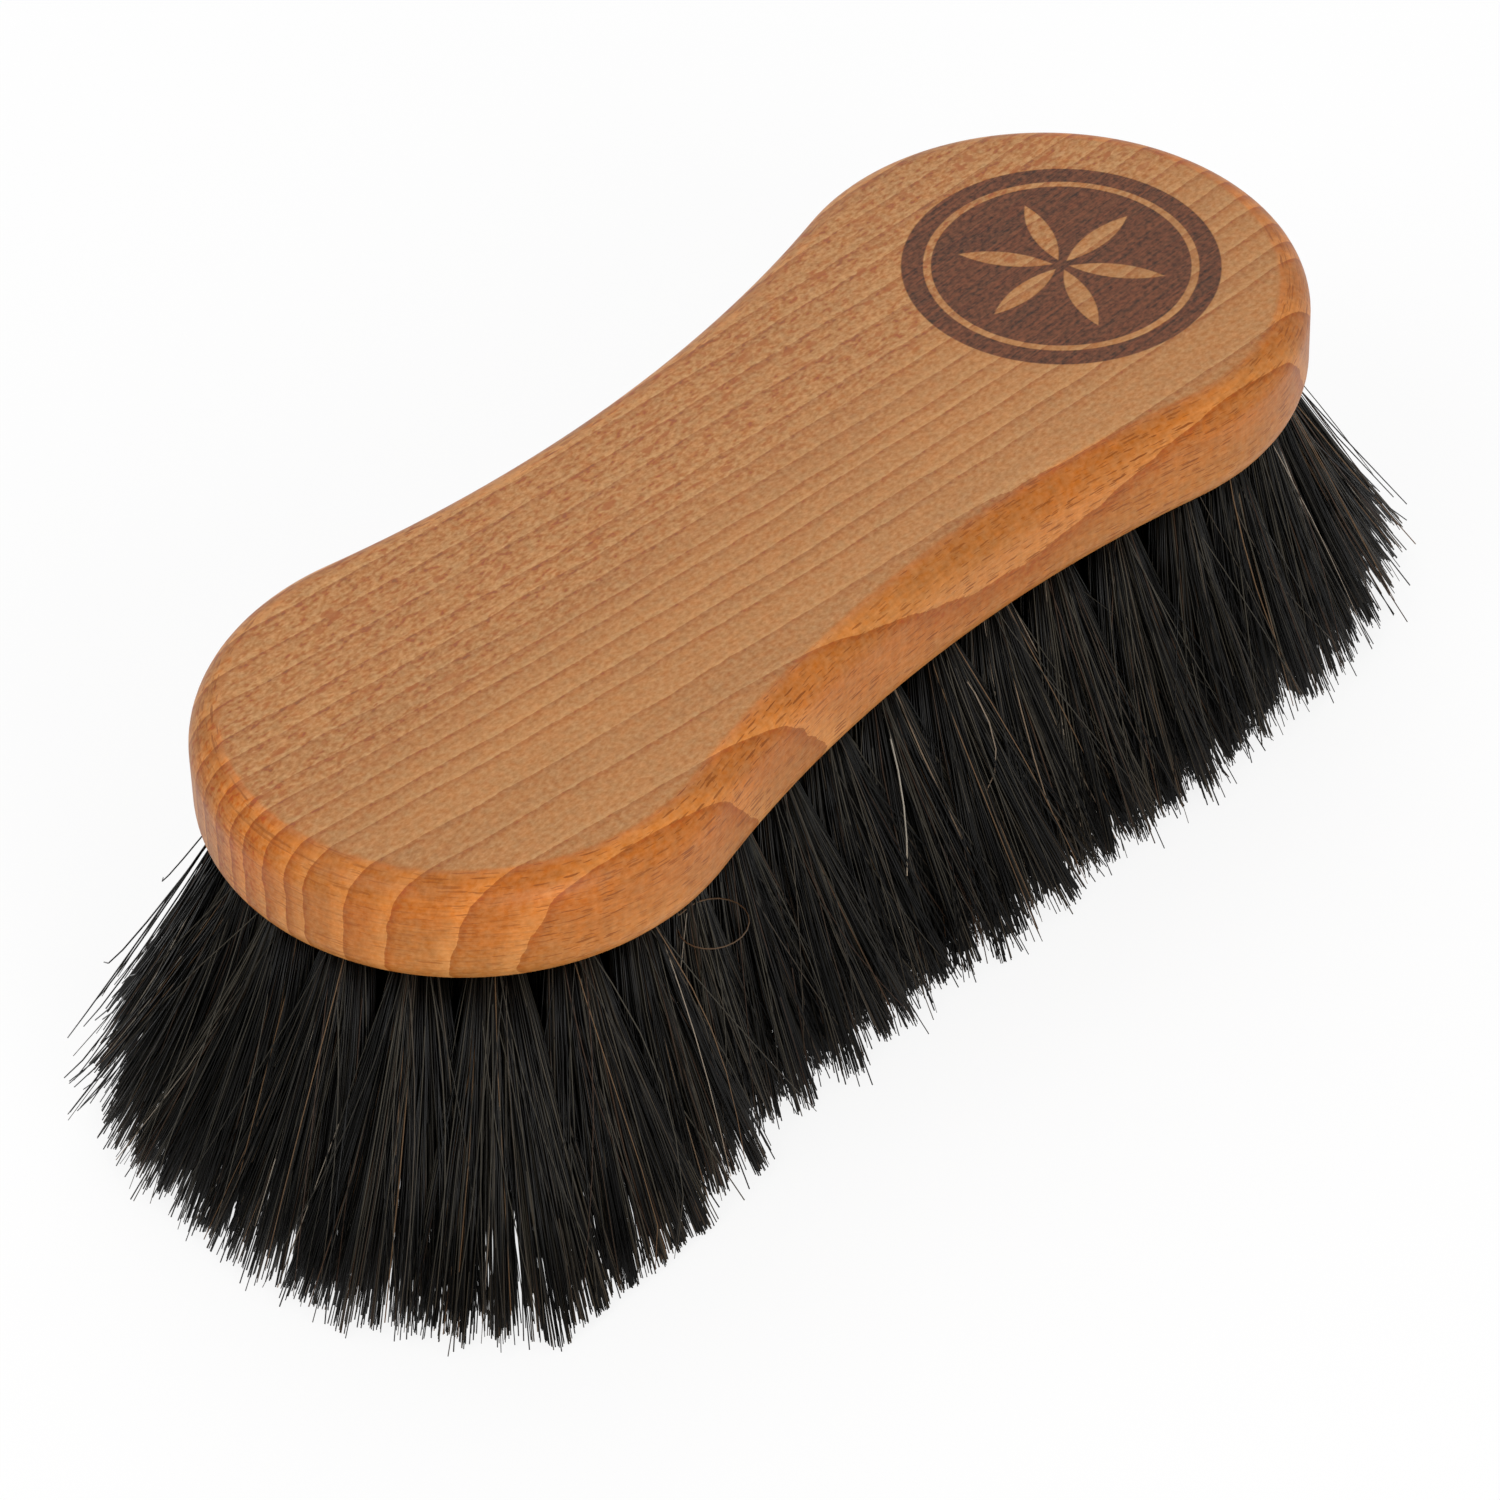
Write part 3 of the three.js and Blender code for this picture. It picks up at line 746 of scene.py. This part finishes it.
class BRUSH_OT_block(bpy.types.Operator):
    """Make the beech block: outline spun from arcs, raised, rounded on both edges and drilled from below"""
    bl_idname = "brush.block"
    bl_label = "Beech Block"
    bl_options = {"REGISTER", "UNDO"}

    def execute(self, context):
        sizes, hair, colours = user_values(context)
        plan = Outline(sizes, hair)
        made = fresh("beech_block", raised_outline(plan, sizes), beech(colours, sizes, plan))
        drill = linked("drills", drill_mesh(plan, sizes))
        holes = made.modifiers.new("holes", "BOOLEAN")
        holes.object, holes.operation, holes.solver = drill, "DIFFERENCE", "EXACT"
        mesh = finished(made)
        bpy.data.objects.remove(drill)
        made.modifiers.clear()
        made.data = mesh
        mesh.polygons.foreach_set("use_smooth", [True] * len(mesh.polygons))
        mesh.set_sharp_from_angle(angle=math.radians(40))
        weighted = made.modifiers.new("weighted_normals", "WEIGHTED_NORMAL")
        weighted.keep_sharp = True
        made.data = finished(made)
        made.modifiers.clear()
        made.data.name = "beech_block"
        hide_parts("block")
        return {"FINISHED"}


def eased(share):
    """A share held between 0 and 1 and eased at both ends."""
    share = min(max(share, 0.0), 1.0)
    return share * share * (3 - 2 * share)


def within(flat):
    """Flat points eased back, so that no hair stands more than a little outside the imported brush."""
    half = np.array(HAIR_HIGH[:2])
    start = half * 1.005
    room = half * 0.05
    beyond = np.maximum(np.abs(flat) - start, 0)
    return np.where(beyond > 0, np.sign(flat) * (start + room * np.tanh(beyond / room)), flat)


def lean_of(plan, root, extra):
    """The way out from the spine at a tuft, and how far and which way its hair leans from root to tip."""
    away = plan.away(root)
    if away.length < MM:
        return Vector((1, 0)), Vector((0, 0))
    out = away.normalized()
    side_lean = WAIST_LEAN + (LOBE_LEAN - WAIST_LEAN) * eased(abs(root.x) / plan.lobe_x)
    share = side_lean + (END_LEAN - side_lean) * eased(abs(out.x) / 0.7)
    return out, away * share + out * extra


def tuft_hairs(luck, plan, fan, root, count, pitch, hole_radius, extra=0.0):
    """The points of one tuft's hairs, from just inside its hole to the cut tips, and their locks' painted
    light and shade.
    """
    out, lean = lean_of(plan, root, extra)
    grown = 1 + lean.length / max(plan.away(root).length, MM) if lean.length else 1.0
    out = np.array(out)
    side = np.array((-out[1], out[0]))
    middle, lean = np.array(root), np.array(lean)

    turn = luck.uniform(0, 2 * math.pi, count)
    spot = np.sqrt(luck.uniform(0, 1, count))[:, None] * np.stack([np.cos(turn), np.sin(turn)], 1)
    # The spread at the tips, outwards and along the row, so that neighbours run into each other.
    spread = np.array((fan, max(fan, 0.9 * pitch * grown)))
    lock_turn = luck.uniform(0, 2 * math.pi, LOCKS)
    lock_way = np.stack([np.cos(lock_turn), np.sin(lock_turn)], 1)
    lock_spot = np.sqrt(luck.uniform(0.02, 1, LOCKS))[:, None] * lock_way
    near = np.argmin(((spot[:, None] - lock_spot[None]) ** 2).sum(2), 1)
    lock_lift = luck.uniform(0, 1.9, LOCKS) * MM
    lock_reach = luck.normal(0, 0.7 * MM, LOCKS)
    # Each lock sits a little lighter or darker on the shade ramp: painted light and shade for locks that
    # stand out or sit deeper.
    lock_light_and_shade = luck.normal(0, 0.13, LOCKS)
    pull = luck.uniform(0.15, 0.85, count)[:, None]
    local = (spot * (1 - pull) + lock_spot[near] * pull) * spread + luck.normal(0, 0.4 * MM, (count, 2))
    local[:, 0] += lock_reach[near]
    crossing = luck.uniform(0, 1, count) < CROSSING
    local = np.where(crossing[:, None], luck.normal(0, 0.45, (count, 2)) * spread, local)
    wild = luck.uniform(0, 1, count) < WILD
    local[:, 0] += np.where(wild, luck.uniform(1, 4.5, count) * MM, 0)
    lift = lock_lift[near] + luck.exponential(0.75 * MM, count)
    short = luck.uniform(0, 1, count) < SHORT
    lift = np.where(short, luck.uniform(2, 16, count) * MM, lift)

    low = plan.underside
    mouth = spot * (hole_radius - 0.3 * MM)
    mouth = middle + mouth[:, :1] * out + mouth[:, 1:] * side
    tip = within(middle + lean + local[:, :1] * out + local[:, 1:] * side)
    tip = mouth + (tip - mouth) * (1 - lift / low)[:, None]
    wave = luck.normal(0, 0.3 * MM, (2, count, 2))
    points = np.zeros((count, 4, 4))
    points[:, 0, :2] = mouth
    points[:, 0, 2] = low + MM
    for level, (down, along) in enumerate(HAIR_COURSE, 1):
        points[:, level, :2] = mouth + (tip - mouth) * along
        points[:, level, 2] = low + (lift + 0.1 * MM - low) * down
    points[:, 1, :2] += wave[0]
    points[:, 2, :2] += wave[1]
    thick = luck.uniform(0.7, 1.12, count)
    for level, share in enumerate(HAIR_TAPER):
        points[:, level, 3] = thick * share
    return points, lock_light_and_shade[near]


def strayed(start, middle, tip, size):
    """Seven points of one hair that bends through a middle place, and thins towards its tip."""
    points = np.zeros((7, 4))
    handle = 2 * middle - (start + tip) / 2
    for level in range(7):
        share = level / 6
        place = start * (1 - share) ** 2 + 2 * handle * share * (1 - share) + tip * share ** 2
        points[level] = (*within(place[:2]), place[2], size * (1 - 0.35 * share ** 3))
    return points


def bowed(start, tip, bow, size):
    """Seven points of one long hair from root to tip, bowed sideways and dropping before it swings out."""
    points = np.zeros((7, 4))
    for level in range(7):
        share = level / 6
        flat = start[:2] + (tip[:2] - start[:2]) * share ** 1.1 + bow * math.sin(math.pi * share)
        height = start[2] + (tip[2] - start[2]) * share
        points[level] = (*within(flat), height, size * (1 - 0.4 * share ** 3))
    return points


def loose_hairs(luck, plan, block, hair):
    """The points and shades of the single hairs that bow over the outer row, and of the wisps at its ends."""
    low = plan.underside
    row = plan.outer_tufts()
    strands, shade = [], []
    for i, root in enumerate(row):
        out, lean = (np.array(v) for v in lean_of(plan, root, OUTER_REACH[i] * MM))
        side = np.array((-out[1], out[0]))
        for _ in range(LOOSE_IN_TUFT):
            turn = luck.uniform(-1.2, 1.2)
            way = out * math.cos(turn) + side * math.sin(turn)
            mouth = np.array(root) + way * block.hole_diameter * 0.42
            spread = out * luck.uniform(0.3, 1.15) * hair.fan + side * luck.normal(0, 7.5 * MM)
            tip = np.array((*(np.array(root) + lean + spread), luck.uniform(0.5, 7) * MM))
            bow = side * luck.normal(0, 1.6 * MM) + out * luck.uniform(-0.3, 1.3) * MM
            strands.append(bowed((*mouth, low + MM), tip, bow, luck.uniform(0.6, 0.85)))
            shade.append(luck.choice(LOOSE_SHADES, p=LOOSE_ODDS))
    for tuft, count, tint, middle, tip in STRAY:
        for _ in range(count):
            mouth = np.array((*(np.array(row[tuft]) + luck.normal(0, 0.8 * MM, 2)), low + MM))
            loose = 0.7 * MM if count > 1 else 0.0
            through = np.array(middle) * MM + luck.normal(0, loose, 3)
            end = np.array(tip) * MM + luck.normal(0, loose, 3)
            strands.append(strayed(mouth, through, end, luck.uniform(0.95, 1.15)))
            shade.append(tint)
    return np.array(strands), np.array(shade)


def curled_hair(plan):
    """The points of one hair that has sprung out of its tuft and curled round in front of it."""
    root = plan.outer_tufts()[CURL_TUFT]
    start = Vector((root.x - 1.0 * MM, root.y - 1.5 * MM, plan.underside + MM))
    wide, high = CURL_SIZE
    points = np.zeros((1, CURL_POINTS, 4))
    for level in range(CURL_POINTS):
        turn = math.radians(CURL_START + CURL_STEP * level)
        # The loop rises a little, so that it passes itself.
        loop = Vector((math.cos(turn) * wide, math.sin(turn) * high, (12 - level) * 0.02))
        place = start.lerp((CURL_MIDDLE + loop) * MM, eased(level / CURL_RUN_IN))
        points[0, level] = (*place, 0.9)
    return points


def folded_root(luck, root, low, depth, hole_radius):
    """Nine points of thick bundles of hair in one hole: up one side, over the staple and down the other. The
    twelve bundles lie in three layers of four."""
    count = 12
    bundles = np.zeros((count, 9, 4))
    for i in range(count):
        layer, place_in_layer = divmod(i, 4)
        across = (place_in_layer - 1.5) / 1.5 * hole_radius * 0.62
        reach = math.sqrt(max((hole_radius - 0.75 * MM) ** 2 - across ** 2, 0)) * (1 - 0.3 * layer)
        crown = low + depth - 1.0 * MM + 0.6 * MM * (layer - 2)
        for level in range(9):
            if level in (0, 8):
                flat, height = 1.0, low + 0.3 * MM
            elif level in (1, 7):
                flat, height = 1.0, low + (crown - low) * 0.55
            else:
                bend = math.pi * (level - 2) / 4
                flat, height = abs(math.cos(bend)), crown - (1 - math.sin(bend)) * 1.7 * MM
            sign = 1 if level < 4 else -1
            place = root.x + sign * flat * reach * (level != 4)
            bundles[i, level] = (place, root.y + across, height, luck.uniform(0.9, 1.05))
    return bundles


def shades(luck, count, lock_light_and_shade):
    """A place on the shade ramp for each hair: nearly all black, with few brown, tan and whitish ones. The
    black ones shift with their lock's painted light and shade.
    """
    kind = luck.uniform(0, 1, count)
    # The black shades move with their lock's painted light and shade.
    black = np.clip(luck.uniform(0.02, 0.8, count) + lock_light_and_shade, 0.02, 0.8)
    brown = luck.uniform(0.82, 0.9, count)
    pale = luck.uniform(0.93, 0.99, count)
    return np.where(kind < 0.93, black, np.where(kind < 0.99, brown, pale))


def drawn(name, strands, thickness):
    """The mesh of three-sided tapered rods along the points of some strands, closed at both ends."""
    section = new_curve("hair_section", dimensions="2D")
    corners = section.splines.new("POLY")
    corners.points.add(2)
    corners.use_cyclic_u = True
    for i, corner in enumerate(corners.points):
        # A triangle a little larger than the round section shows as wide as it.
        flat = turned(2 * math.pi * i / 3, thickness / 2 * 1.15)
        corner.co = (flat.x, flat.y, 0, 1)
    outline = linked("hair_section", section)
    lines = new_curve(name, dimensions="3D", bevel_mode="OBJECT", bevel_object=outline, use_fill_caps=True)
    places = strands.copy()
    places[:, :, 3] = 1
    for place, strand in zip(places, strands):
        line = lines.splines.new("POLY")
        line.points.add(len(strand) - 1)
        line.points.foreach_set("co", place.ravel())
        line.points.foreach_set("radius", strand[:, 3])
    mesh = curve_mesh(name, lines)
    bpy.data.objects.remove(outline)
    return mesh


def hair_mesh(name, strands, shade, thickness):
    """Hairs as one mesh, with the shade of each and the place along it mapped."""
    mesh = drawn(name, strands, thickness)
    count, levels = strands.shape[:2]
    # Six corners of end faces for each hair come first, and then its rings, three corners each.
    corner = np.zeros(len(mesh.loops), np.int32)
    mesh.loops.foreach_get("vertex_index", corner)
    caps = corner < 6 * count
    body = corner - 6 * count
    which = np.where(caps, corner // 6, body // (3 * levels))
    level = np.where(caps, np.where(corner % 6 < 3, levels - 1, 0), body % (3 * levels) // 3)
    while mesh.uv_layers:
        mesh.uv_layers.remove(mesh.uv_layers[0])
    place = np.stack([shade[which], 0.02 + 0.96 * level / (levels - 1)], 1)
    mesh.uv_layers.new(name="OFBake").data.foreach_set("uv", place.astype(np.float32).ravel())
    join_up(mesh, 0.0005 * MM)
    sides = np.zeros(len(mesh.polygons), np.int32)
    mesh.polygons.foreach_get("loop_total", sides)
    mesh.polygons.foreach_set("use_smooth", sides == 4)
    mesh.name = name
    return mesh


def row_pitch(row, i):
    """The distance of a tuft in a closed row from its two neighbours."""
    before, after = row[i - 1], row[(i + 1) % len(row)]
    return ((row[i] - before).length + (row[i] - after).length) / 2


def grow_row(context, names, row, count, node, pitch=None):
    """Makes the pieces of hair of a row, each from an equal share of its tufts."""
    block, sizes, colours = user_values(context)
    plan = Outline(block, sizes)
    hole_radius = block.hole_diameter / 2
    outer = node == "outer_row_bristles"
    share = len(row) // len(names)
    for number, name in enumerate(names):
        tufts = range(number * share, (number + 1) * share)
        luck = np.random.default_rng([SEED, len(row), tufts[0]])
        grown = []
        for i in tufts:
            spacing = pitch or row_pitch(row, i)
            fan, extra = (sizes.fan, OUTER_REACH[i] * MM) if outer else (sizes.inner_fan, 0.0)
            grown.append(tuft_hairs(luck, plan, fan, row[i], count, spacing, hole_radius, extra))
        strands, lock_light_and_shade = (np.concatenate(parts) for parts in zip(*grown))
        mesh = hair_mesh(name, strands, shades(luck, len(strands), lock_light_and_shade), sizes.hair_thickness)
        made = fresh(name, mesh, horsehair(colours))
        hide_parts(node)


class BRUSH_OT_outer_hair(bpy.types.Operator):
    """Grow the outer row of horsehair tufts, in four pieces, one for each quarter"""
    bl_idname = "brush.outer_hair"
    bl_label = "Outer Row of Hair"
    bl_options = {"REGISTER", "UNDO"}

    def execute(self, context):
        block, sizes, _ = user_values(context)
        names = [f"outer_hair_{number}" for number in (1, 2, 3, 4)]
        row = Outline(block, sizes).outer_tufts()
        grow_row(context, names, row, sizes.outer_hairs, "outer_row_bristles")
        return {"FINISHED"}


class BRUSH_OT_inner_hair(bpy.types.Operator):
    """Grow the second row and the centre tufts of horsehair"""
    bl_idname = "brush.inner_hair"
    bl_label = "Inner Rows of Hair"
    bl_options = {"REGISTER", "UNDO"}

    def execute(self, context):
        block, sizes, _ = user_values(context)
        plan = Outline(block, sizes)
        count = sizes.inner_hairs
        names = ["second_row_hair_1", "second_row_hair_2"]
        grow_row(context, names, plan.second_tufts(), count, "second_row_bristles")
        grow_row(context, ["centre_hair"], plan.centre_tufts(), count, "centre_bristles", sizes.row_spacing)
        return {"FINISHED"}


class BRUSH_OT_loose_hair(bpy.types.Operator):
    """Add single hairs that bow over the outer row, stray wisps at its ends and one curled hair"""
    bl_idname = "brush.loose_hair"
    bl_label = "Loose Hairs"
    bl_options = {"REGISTER", "UNDO"}

    def execute(self, context):
        block, sizes, colours = user_values(context)
        plan = Outline(block, sizes)
        strands, shade = loose_hairs(np.random.default_rng(SEED), plan, block, sizes)
        mesh = hair_mesh("loose_hairs", strands, shade, sizes.hair_thickness)
        fresh("loose_hairs", mesh, horsehair(colours))
        mesh = hair_mesh("curled_hair", curled_hair(plan), np.array([CURL_SHADE]), sizes.hair_thickness)
        fresh("curled_hair", mesh, horsehair(colours))
        return {"FINISHED"}


class BRUSH_OT_folded_roots(bpy.types.Operator):
    """Fill each hole with the folded root of its tuft, bent over the staple"""
    bl_idname = "brush.folded_roots"
    bl_label = "Folded Roots"
    bl_options = {"REGISTER", "UNDO"}

    def execute(self, context):
        block, sizes, colours = user_values(context)
        plan = Outline(block, sizes)
        luck = np.random.default_rng(SEED)
        for name, row, node in (("outer_roots", plan.outer_tufts(), "outer_row_bristles"),
                                ("second_row_roots", plan.second_tufts(), "second_row_bristles"),
                                ("centre_roots", plan.centre_tufts(), "centre_bristles")):
            bundles = [folded_root(luck, root, plan.underside, block.hole_depth, block.hole_diameter / 2)
                       for root in row]
            bundles = np.concatenate(bundles)
            shade = luck.uniform(0.02, 0.75, len(bundles))
            made = fresh(name, hair_mesh(name, bundles, shade, 0.8 * MM), horsehair(colours))
            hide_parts(node)
        return {"FINISHED"}


def staple_mesh(plan, block, hair):
    """The mesh of the second row's staples: wire bent round a crown, with two pointed legs in the wood."""
    leg = block.hole_diameter / 2 - 1.05 * MM
    bottom = plan.underside + block.hole_depth
    wire = new_curve("second_row_staples", dimensions="3D", bevel_depth=hair.wire / 2, bevel_resolution=1,
                     use_fill_caps=True)
    # From a leg's point to the crown: across, up from the bottom of the hole, and the share of the wire.
    half = [(-leg, 3.2 * MM, 0.12), (-leg, 2.3 * MM, 1), (-leg, -1.9 * MM, 1),
            (-leg + 0.25 * MM, -2.3 * MM, 1), (-leg + 0.6 * MM, -2.4 * MM, 1)]
    profile = half + [(-across, height, size) for across, height, size in reversed(half)]
    for tuft in plan.second_tufts():
        bend = wire.splines.new("POLY")
        bend.points.add(len(profile) - 1)
        for point, (across, height, size) in zip(bend.points, profile):
            point.co = (tuft.x, tuft.y + across, bottom + height, 1)
            point.radius = size
    mesh = curve_mesh("second_row_staples", wire)
    join_up(mesh, 0.001 * MM)
    return mesh


class BRUSH_OT_staples(bpy.types.Operator):
    """Give the staples their drawn steel, and bend those of the second row"""
    bl_idname = "brush.staples"
    bl_label = "Wire Staples"
    bl_options = {"REGISTER", "UNDO"}

    def execute(self, context):
        block, sizes, colours = user_values(context)
        steel = steel_wire(colours)
        for name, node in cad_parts.items():
            if "staple" in name:
                node.data.materials.clear()
                node.data.materials.append(steel)
        fresh("second_row_staples", staple_mesh(Outline(block, sizes), block, sizes), steel)
        return {"FINISHED"}


def seen_share(add):
    """1 for what the camera sees, also in a shiny face or through glass, and 0 for the light on the brush."""
    path = add("LightPath").outputs
    seen = add("Math", "MAXIMUM", path["Is Camera Ray"], path["Is Glossy Ray"])
    return add("Math", "MAXIMUM", seen, path["Is Transmission Ray"])


def pale_card():
    """Pale card: white to the camera, with the brush's faint shadow kept."""
    card, add = new_material("pale_card")
    share = add("Math", "MULTIPLY", seen_share(add), 0.85)
    paper = add("TexNoise", None, Vector=add("TexCoord").outputs["Object"], Scale=600)
    rough = add("MapRange", None, paper, 0, 1, 0.8, 0.95)
    matt = add("BsdfPrincipled", None, Base_Color=linear("F4F4F4"), Roughness=rough)
    glow = add("Emission", None, Color=grey(1), Strength=1)
    both = add("MixShader", None, share, matt, glow)
    add("OutputMaterial", None, Surface=both)
    return card


def plain_white():
    """A white world, which the camera sees brighter than it lights the brush."""
    world = bpy.data.worlds.get("plain_white") or bpy.data.worlds.new("plain_white")
    world.use_nodes = True
    add = emptied(world.node_tree)
    strength = add("MapRange", None, seen_share(add), 0, 1, 0.45, 1)
    sky = add("Background", None, Color=grey(1), Strength=strength)
    add("OutputWorld", None, Surface=sky)
    return world


def way_to(azimuth, elevation):
    """The way to an azimuth, from the front towards the right, and an elevation, both in degrees."""
    turn, rise = math.radians(azimuth), math.radians(elevation)
    return Vector((math.sin(turn) * math.cos(rise), -math.cos(turn) * math.cos(rise), math.sin(rise)))


class BRUSH_OT_stage(bpy.types.Operator):
    """Set the plain pale floor, the soft lamps and the camera at the photograph's angle"""
    bl_idname = "brush.stage"
    bl_label = "Stage"
    bl_options = {"REGISTER", "UNDO"}

    def execute(self, context):
        scene = context.scene
        floor_shape = bmesh.new()
        bmesh.ops.create_grid(floor_shape, x_segments=1, y_segments=1, size=4)
        floor = linked("floor", mesh_from(floor_shape, "floor"))
        floor.data.materials.append(pale_card())
        scene.world = plain_white()

        for name, azimuth, elevation, distance, size, watts in LAMPS:
            lamp = bpy.data.lights.new(name, "AREA")
            lamp.shape, lamp.size, lamp.energy = "DISK", size, watts
            made = linked(name, lamp)
            back = way_to(azimuth, elevation)
            made.location = LAMP_TARGET + back * distance
            made.rotation_euler = back.to_track_quat("Z", "Y").to_euler()

        # The camera stands where the photograph was taken from, with a long lens.
        back, roll = way_to(CAMERA_AZIMUTH, CAMERA_ELEVATION), math.radians(CAMERA_ROLL)
        right = (-back).cross(UP).normalized()
        above = right.cross(-back)
        lens = bpy.data.cameras.new("photo_camera")
        lens.sensor_fit, lens.sensor_width, lens.lens = "HORIZONTAL", 36, CAMERA_LENS
        lens.clip_start, lens.clip_end = 0.05, 20
        camera = linked("photo_camera", lens)
        axes = Matrix((right * math.cos(roll) + above * math.sin(roll),
                       above * math.cos(roll) - right * math.sin(roll), back)).transposed()
        place = CAMERA_TARGET * MM + back * CAMERA_DISTANCE
        camera.matrix_world = Matrix.Translation(place) @ axes.to_4x4()
        scene.camera = camera
        scene.view_settings.view_transform = "Standard"
        return {"FINISHED"}


STEPS = (BRUSH_OT_stage, BRUSH_OT_block, BRUSH_OT_outer_hair, BRUSH_OT_inner_hair, BRUSH_OT_loose_hair,
         BRUSH_OT_folded_roots, BRUSH_OT_staples)
GROUPS = (("brush_block", BlockSizes), ("brush_hair", HairSizes), ("brush_colours", Colours))


class BRUSH_PT_sidebar(bpy.types.Panel):
    """The brush's sizes, colours and pieces"""
    bl_idname = "BRUSH_PT_sidebar"
    bl_label = "Body Brush"
    bl_space_type = "VIEW_3D"
    bl_region_type = "UI"
    bl_category = "Body Brush"

    def draw(self, context):
        for attribute, group in GROUPS:
            box = self.layout.box()
            for name in group.__annotations__:
                box.prop(getattr(context.scene, attribute), name)
        for step in STEPS:
            self.layout.operator(step.bl_idname)


def register():
    for _, group in GROUPS:
        bpy.utils.register_class(group)
    for step in STEPS:
        bpy.utils.register_class(step)
    bpy.utils.register_class(BRUSH_PT_sidebar)
    for attribute, group in GROUPS:
        setattr(bpy.types.Scene, attribute, PointerProperty(type=group))


def unregister():
    for attribute, _ in GROUPS:
        delattr(bpy.types.Scene, attribute)
    bpy.utils.unregister_class(BRUSH_PT_sidebar)
    for step in reversed(STEPS):
        bpy.utils.unregister_class(step)
    for _, group in reversed(GROUPS):
        bpy.utils.unregister_class(group)


def main():
    """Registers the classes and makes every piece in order."""
    register()
    bpy.ops.brush.stage()
    bpy.ops.brush.block()
    bpy.ops.brush.outer_hair()
    bpy.ops.brush.inner_hair()
    bpy.ops.brush.loose_hair()
    bpy.ops.brush.folded_roots()
    bpy.ops.brush.staples()


if __name__ == "__main__":
    main()
